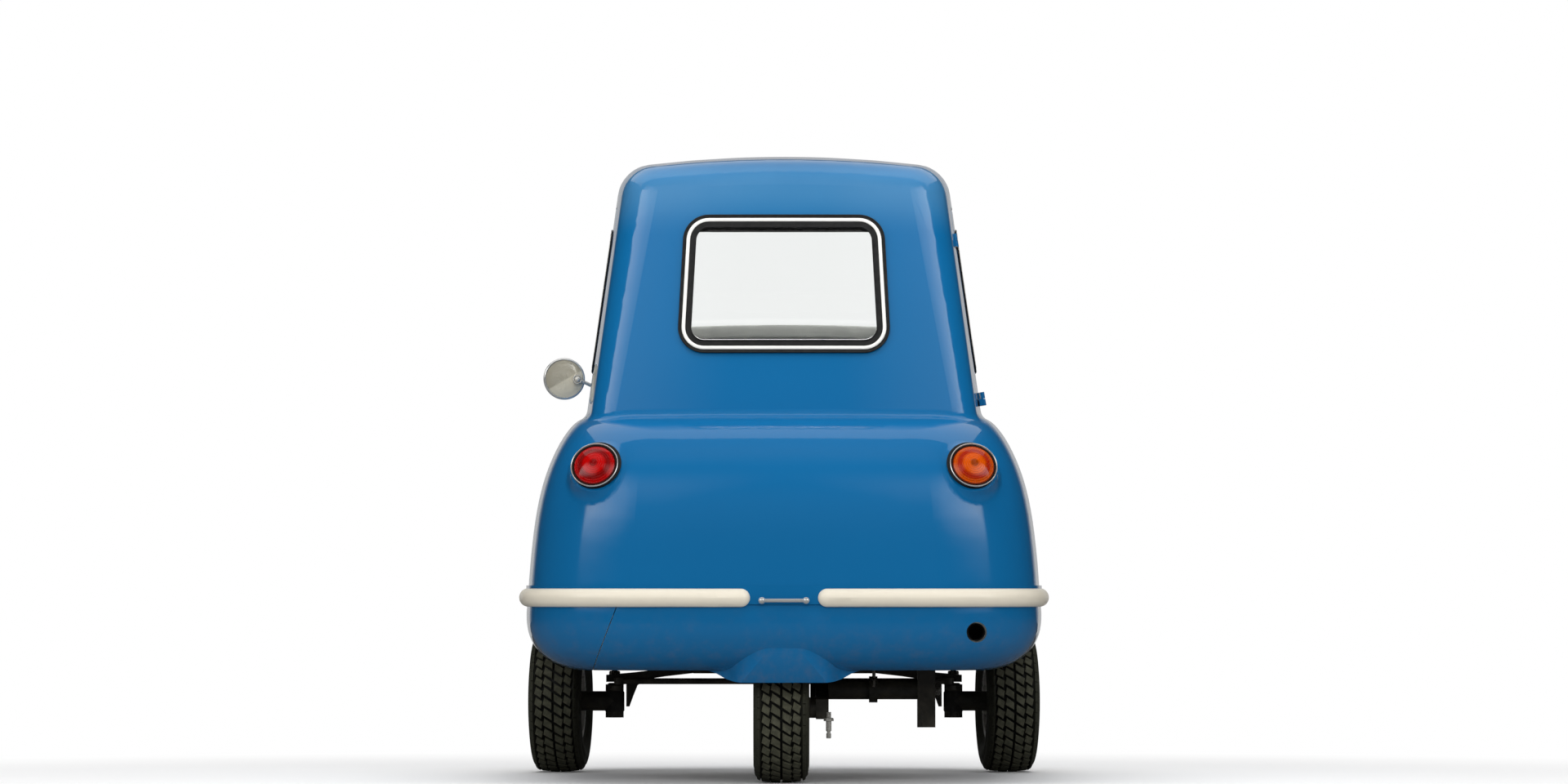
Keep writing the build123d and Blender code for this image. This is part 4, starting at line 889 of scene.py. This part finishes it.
def gauge(place):
    turned("gauge_bezel", CHROME, GAUGE_BEZEL, 64, place)
    turned("gauge_dial", DIAL, [(37.6, 0.5), (24, 0.5), (0.02, 0.5)], 48, place, 40.0)
    marks = Piece("gauge_marks", IVORY)
    for k in range(DIAL_MARKS):
        along, across = dial_way(DIAL_START - k * DIAL_SWEEP / (DIAL_MARKS - 1))
        length, half = (7.0, 0.8) if k % 4 == 0 else (3.6, 0.4)
        near, far, side = along * (DIAL_R - length) + Z * 0.9, along * DIAL_R + Z * 0.9, across * half
        marks.add([near - side, near + side, far + side, far - side], [(0, 1, 2, 3)], place)
    along, across = dial_way(DIAL_START)
    heel, side = Z * 2 - along * 6, across * 1.1
    marks.add([heel - side, heel + side, Z * 2 + along * 29], [(0, 1, 2)], place)
    marks.add(*revolved([(3.6, 1.0), (3.6, 2.6), (2.0, 3.2), (0.02, 3.2)], 20), place)
    marks.make()


column = frame_at(WHEEL_CENTRE, WHEEL_CENTRE - COLUMN_FOOT)
turned("horn_button", CHROME, HORN, 48, column, body="steering_wheel_body")
gauge(frame_at((0.0, DASH_Y - 6.0, DASH_Z - 50.0), DASH_FACE))
for k, x in enumerate(SWITCH_X):
    turned(f"switch_{k}", CHROME, SWITCH, 24, frame_at((x, DASH_Y - 3.0, DASH_Z - 44.0), DASH_FACE))

# -------- pedals
PEDAL_X, POST_X = (-90, 10, 100), (-130, 150)
SHAFT_X, SHAFT_Y, SHAFT_Z, POST_Z = (-140, -50, 50, 160), 440.0, 262.0, 220.8
PEDAL_ARM = [(438, 270), (428, 300), (412, 332), (392, 356)]
PAD_Y, PAD_Z, PAD_WAY, PAD_HALF = 388.0, 362.0, (0, -0.9, 0.44), (27, 32)
POST = [(0.02, 0), (14, 0), (14, 4), (8, 4.5), (8, 41), (0.02, 41)]
SLEEVE = [(12, -15), (12, 15), (7.2, 15), (7.2, -15)]
RIBS, RIB_PITCH = 7, 8.4


def pad_place(x):
    return frame_at((x, PAD_Y, PAD_Z), PAD_WAY)


def pedal_frame():
    """Shaft on two posts, with each pedal's sleeve, arm and pad."""
    pedals = Piece("pedals", CHASSIS)
    pedals.add(*swept([(x, SHAFT_Y, SHAFT_Z) for x in SHAFT_X], circle(7.0, 16)))
    for x in POST_X:
        pedals.add(*revolved(POST, 20), Matrix.Translation((x, SHAFT_Y, POST_Z)))
    for x in PEDAL_X:
        pedals.add(*revolved(SLEEVE, 24, closed=True), frame_at((x, SHAFT_Y, SHAFT_Z), X))
        pedals.add(*swept([(x, y, z) for y, z in PEDAL_ARM], circle(6.6, 14, 1 / 1.5), up=[Y, Y, Y, Y]))
        pedals.add(*block(PAD_HALF, -10.4, PAD_HALF, -5.2), pad_place(x))
    pedals.make(smooth=50.0)


def pedal_rubber(number, x):
    """Ribbed rubber over a pad."""
    rubber = Piece(f"pedal_rubber_{number}", RUBBER)
    rubber.add(*block(PAD_HALF, -5.4, [half * 0.97 for half in PAD_HALF], 5.4), pad_place(x))
    for row in range(RIBS):
        points, faces = block((23, 2.4), 5.2, (22, 1.4), 7.6, (row - RIBS // 2) * RIB_PITCH)
        rubber.add(points, faces[1:], pad_place(x))
    rubber.make(bevel=1.0)


pedal_frame()
for number, x in enumerate(PEDAL_X):
    pedal_rubber(number, x)

# -------- cushions
FLUTES, FLUTE_DEPTH, FLUTE_WIDTH = (-0.66, -0.22, 0.22, 0.66), 0.0075, 0.0062
VOXEL, CLOTH_FRAMES = 0.006, 20
PIPING_IN, PIPING_R, PIPING_CORNER = 12.0, 3.0, 38.0


def remesh(made):
    bpy.context.view_layer.objects.active = made
    for other in bpy.context.selected_objects:
        other.select_set(False)
    made.select_set(True)
    modifier = made.modifiers.new("remesh", "REMESH")
    modifier.mode, modifier.voxel_size = "VOXEL", VOXEL
    bpy.ops.object.modifier_apply(modifier="remesh")


def blow_up(made):
    """Cloth simulation of the cover under pressure and without weight."""
    cloth = made.modifiers.new("cloth", "CLOTH")
    settings = cloth.settings
    settings.quality, settings.mass = 5, 0.3
    settings.use_pressure, settings.uniform_pressure_force = True, 4.0
    settings.tension_stiffness = settings.compression_stiffness = 18.0
    settings.effector_weights.gravity = 0.0
    cloth.point_cache.frame_start, cloth.point_cache.frame_end = 1, CLOTH_FRAMES
    for step in range(1, CLOTH_FRAMES + 1):
        scene.frame_set(step)
    bpy.ops.object.modifier_apply(modifier="cloth")
    scene.frame_set(1)


def cushion(name, node, shrink, reach, ways):
    """Vinyl cushion blown up from a remeshed copy of its solid, with sewn flutes along one way."""
    data = NODES[node].data.copy()
    made = bpy.data.objects.new(name, data)
    scene.collection.objects.link(made)
    centre = sum((v.co for v in data.vertices), Vector()) / len(data.vertices)
    across, along, out = ways
    for v in data.vertices:
        a, b, c = ((v.co - centre).dot(way) for way in ways)
        v.co = centre + across * a * shrink[0] + along * b * shrink[1] + out * c * shrink[2]
    remesh(made)
    start = [v.co.copy() for v in data.vertices]
    blow_up(made)
    data = made.data
    spans = [max(abs((v - centre).dot(way)) for v in start) for way in ways]
    for v, first in zip(data.vertices, start):
        move = v.co - first
        if move.length > reach:
            move *= reach / move.length
        v.co = first + move
        a, b, c = ((v.co - centre).dot(way) / span for way, span in zip(ways, spans))
        if c > 0.1:
            line = min(abs(a - flute) for flute in FLUTES) * spans[0]
            edge = min(1.0, max(0.0, (1.0 - abs(b)) / 0.16))
            v.co -= out * (FLUTE_DEPTH * math.exp(-((line / FLUTE_WIDTH) ** 2)) * edge * min(1.0, c * 1.5))
    surface = made.modifiers.new("surface", "SUBSURF")
    surface.levels = surface.render_levels = 1
    data.materials.clear()
    data.materials.append(VINYL)
    for polygon in data.polygons:
        polygon.use_smooth = True
    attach(made, "body")
    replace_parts(made, node)
    return tree_of(data), centre / MM, [span / MM for span in spans]


def piping(name, tree, centre, spans, ways):
    """Corded edge of a cushion, laid on its outer face."""
    across, along, out = ways
    half_a, half_b = spans[0] - PIPING_IN, spans[1] - PIPING_IN
    loop = rounded_loop([(a * half_a, b * half_b, PIPING_CORNER) for a, b in SQUARE], 0.0, 8.0)
    path, ways = hits(tree, [centre + across * a + along * b + out * 200 for a, b in loop], -out)
    laid(name, PIPING, path, ways, circle(PIPING_R, 8), 80.0)


base_ways = (X, Y, Z)
seat_pad = cushion("seat_pad", "seat_cushion", (0.965, 0.965, 0.80), 0.014, base_ways)
piping("seat_pad_piping", *seat_pad, base_ways)
back_out = Vector((0, 0.98, 0.2)).normalized()
back_ways = (X, -back_out.cross(X), back_out)
back_pad = cushion("back_pad", "seat_backrest", (0.96, 0.96, 0.74), 0.012, back_ways)
piping("back_pad_piping", *back_pad, back_ways)

# -------- smooth shading of the solids
for node in NODES.values():
    smooth_shade(node.data, 32)


# -------- floor, light and camera
FLOOR_HALF = 9.0
# Where the lit floor begins to turn to plain white, and where it is white, in m from the middle
WHITE_FROM, WHITE_AT = 1.1, 2.4


def stage_floor():
    data = bpy.data.meshes.new("floor")
    data.from_pydata([(a * FLOOR_HALF, b * FLOOR_HALF, 0.0) for a, b in SQUARE], [], [(0, 1, 2, 3)])
    floor = bpy.data.objects.new("floor", data)
    scene.collection.objects.link(floor)
    n = Shader("floor_white")
    x, y, z = n.xyz(n.place)
    away = n.math("SQRT", n.math("ADD", n.math("POWER", x, 2.0), n.math("POWER", y, 2.0)))
    seen = n.node("LightPath").outputs["Is Camera Ray"]
    diffuse = n.node("LightPath").outputs["Is Diffuse Ray"]
    tone = n.mix(n.noise(1.4), (0.93, 0.93, 0.93), (0.97, 0.97, 0.97))
    bounce = n.mix(diffuse, (0.08, 0.08, 0.08), (0.5, 0.5, 0.5))
    n.set(Base_Color=n.mix(seen, bounce, tone), Roughness=0.9, Specular_IOR_Level=0.1)
    white = n.node("Emission", {"Strength": 1.0})
    lit_or_white = n.mix_shader(n.times(seen, n.span(away, WHITE_FROM, WHITE_AT)), n.bsdf, white)
    n.feed(n.out.inputs[0], lit_or_white.outputs[0])
    data.materials.append(n.mat)


stage_floor()

world = bpy.data.worlds.new("studio")
scene.world = world
sky = Graph(world)
# What gloss sees: tall softboxes at both sides behind the car, a glow straight ahead, and dark elsewhere
x, y, z = sky.xyz(sky.node("TexCoord").outputs["Generated"])
beside = sky.times_plus(sky.math("ABSOLUTE", x), 4.4, sky.times_plus(z, 2.4, -1.5))
behind = sky.span(sky.times(y, -1.0), 0.30, 0.38)
tall = sky.math("SUBTRACT", sky.span(z, 0.10, 0.34), sky.span(z, 0.50, 0.80))
ahead = sky.span(y, 0.86, 1.0, 0.0, 0.48)
glow = sky.most(sky.times(beside, behind, tall), ahead, 0.012)
rays = sky.node("LightPath").outputs
level = sky.node("Mix", {0: rays["Is Glossy Ray"], 2: 0.28, 3: glow}, data_type="FLOAT")
studio = sky.node("Background", {0: (1, 1, 1, 1), 1: level.outputs[0]})
white = sky.node("Background", {0: (1, 1, 1, 1), 1: 1.0})
plain = sky.most(rays["Is Camera Ray"], rays["Is Transmission Ray"])
sky.node("OutputWorld", {0: sky.mix_shader(plain, studio, white).outputs[0]})

# Place, aimed at, size, power
LAMPS = {
    "overhead": ((0.0, -0.4, 3.6), (0.0, -0.1, 0.5), (3.4, 3.8), 76.0),
    "rear_fill": ((0.0, -6.0, 2.6), (0.0, 0.0, 0.5), (5.0, 2.6), 140.0),
    "strip_left": ((-3.4, -2.2, 1.7), (-0.2, -0.2, 0.7), (0.7, 3.0), 26.0),
    "strip_right": ((3.4, -2.2, 1.7), (0.2, -0.2, 0.7), (0.7, 3.0), 26.0),
    "front_fill": ((0.0, 5.0, 2.6), (0.0, 0.0, 0.5), (4.0, 2.4), 85.0),
    "roof_strip": ((0.0, -1.1, 1.95), (0.0, -0.3, 1.12), (1.5, 0.35), 5.0),
    "gloss_box": ((0.0, 0.32, 2.0), (0.0, 0.32, 0.0), (2.6, 1.7), 12.0),
}
for name, (at, aim, size, power) in LAMPS.items():
    light = bpy.data.lights.new(name, "AREA")
    light.shape = "RECTANGLE"
    light.size, light.size_y = size
    light.energy = power
    lamp = bpy.data.objects.new(name, light)
    lamp.location = at
    lamp.visible_glossy = name == "gloss_box"
    lamp.visible_diffuse = name != "gloss_box"
    lamp.rotation_euler = (Vector(aim) - Vector(at)).to_track_quat("-Z", "Y").to_euler()
    scene.collection.objects.link(lamp)

CAMERA_AT, CAMERA_UP, FOCAL_LENGTH = (0.0, -15.06, 0.371), 1.43, 177.9
lens = bpy.data.cameras.new("camera")
lens.lens, lens.sensor_width, lens.sensor_fit = FOCAL_LENGTH, 36.0, "HORIZONTAL"
lens.clip_start, lens.clip_end = 0.5, 80.0
camera = bpy.data.objects.new("camera", lens)
camera.location = CAMERA_AT
camera.rotation_euler = (math.radians(90 + CAMERA_UP), 0.0, 0.0)
scene.collection.objects.link(camera)
scene.camera = camera
scene.view_settings.view_transform = "Standard"
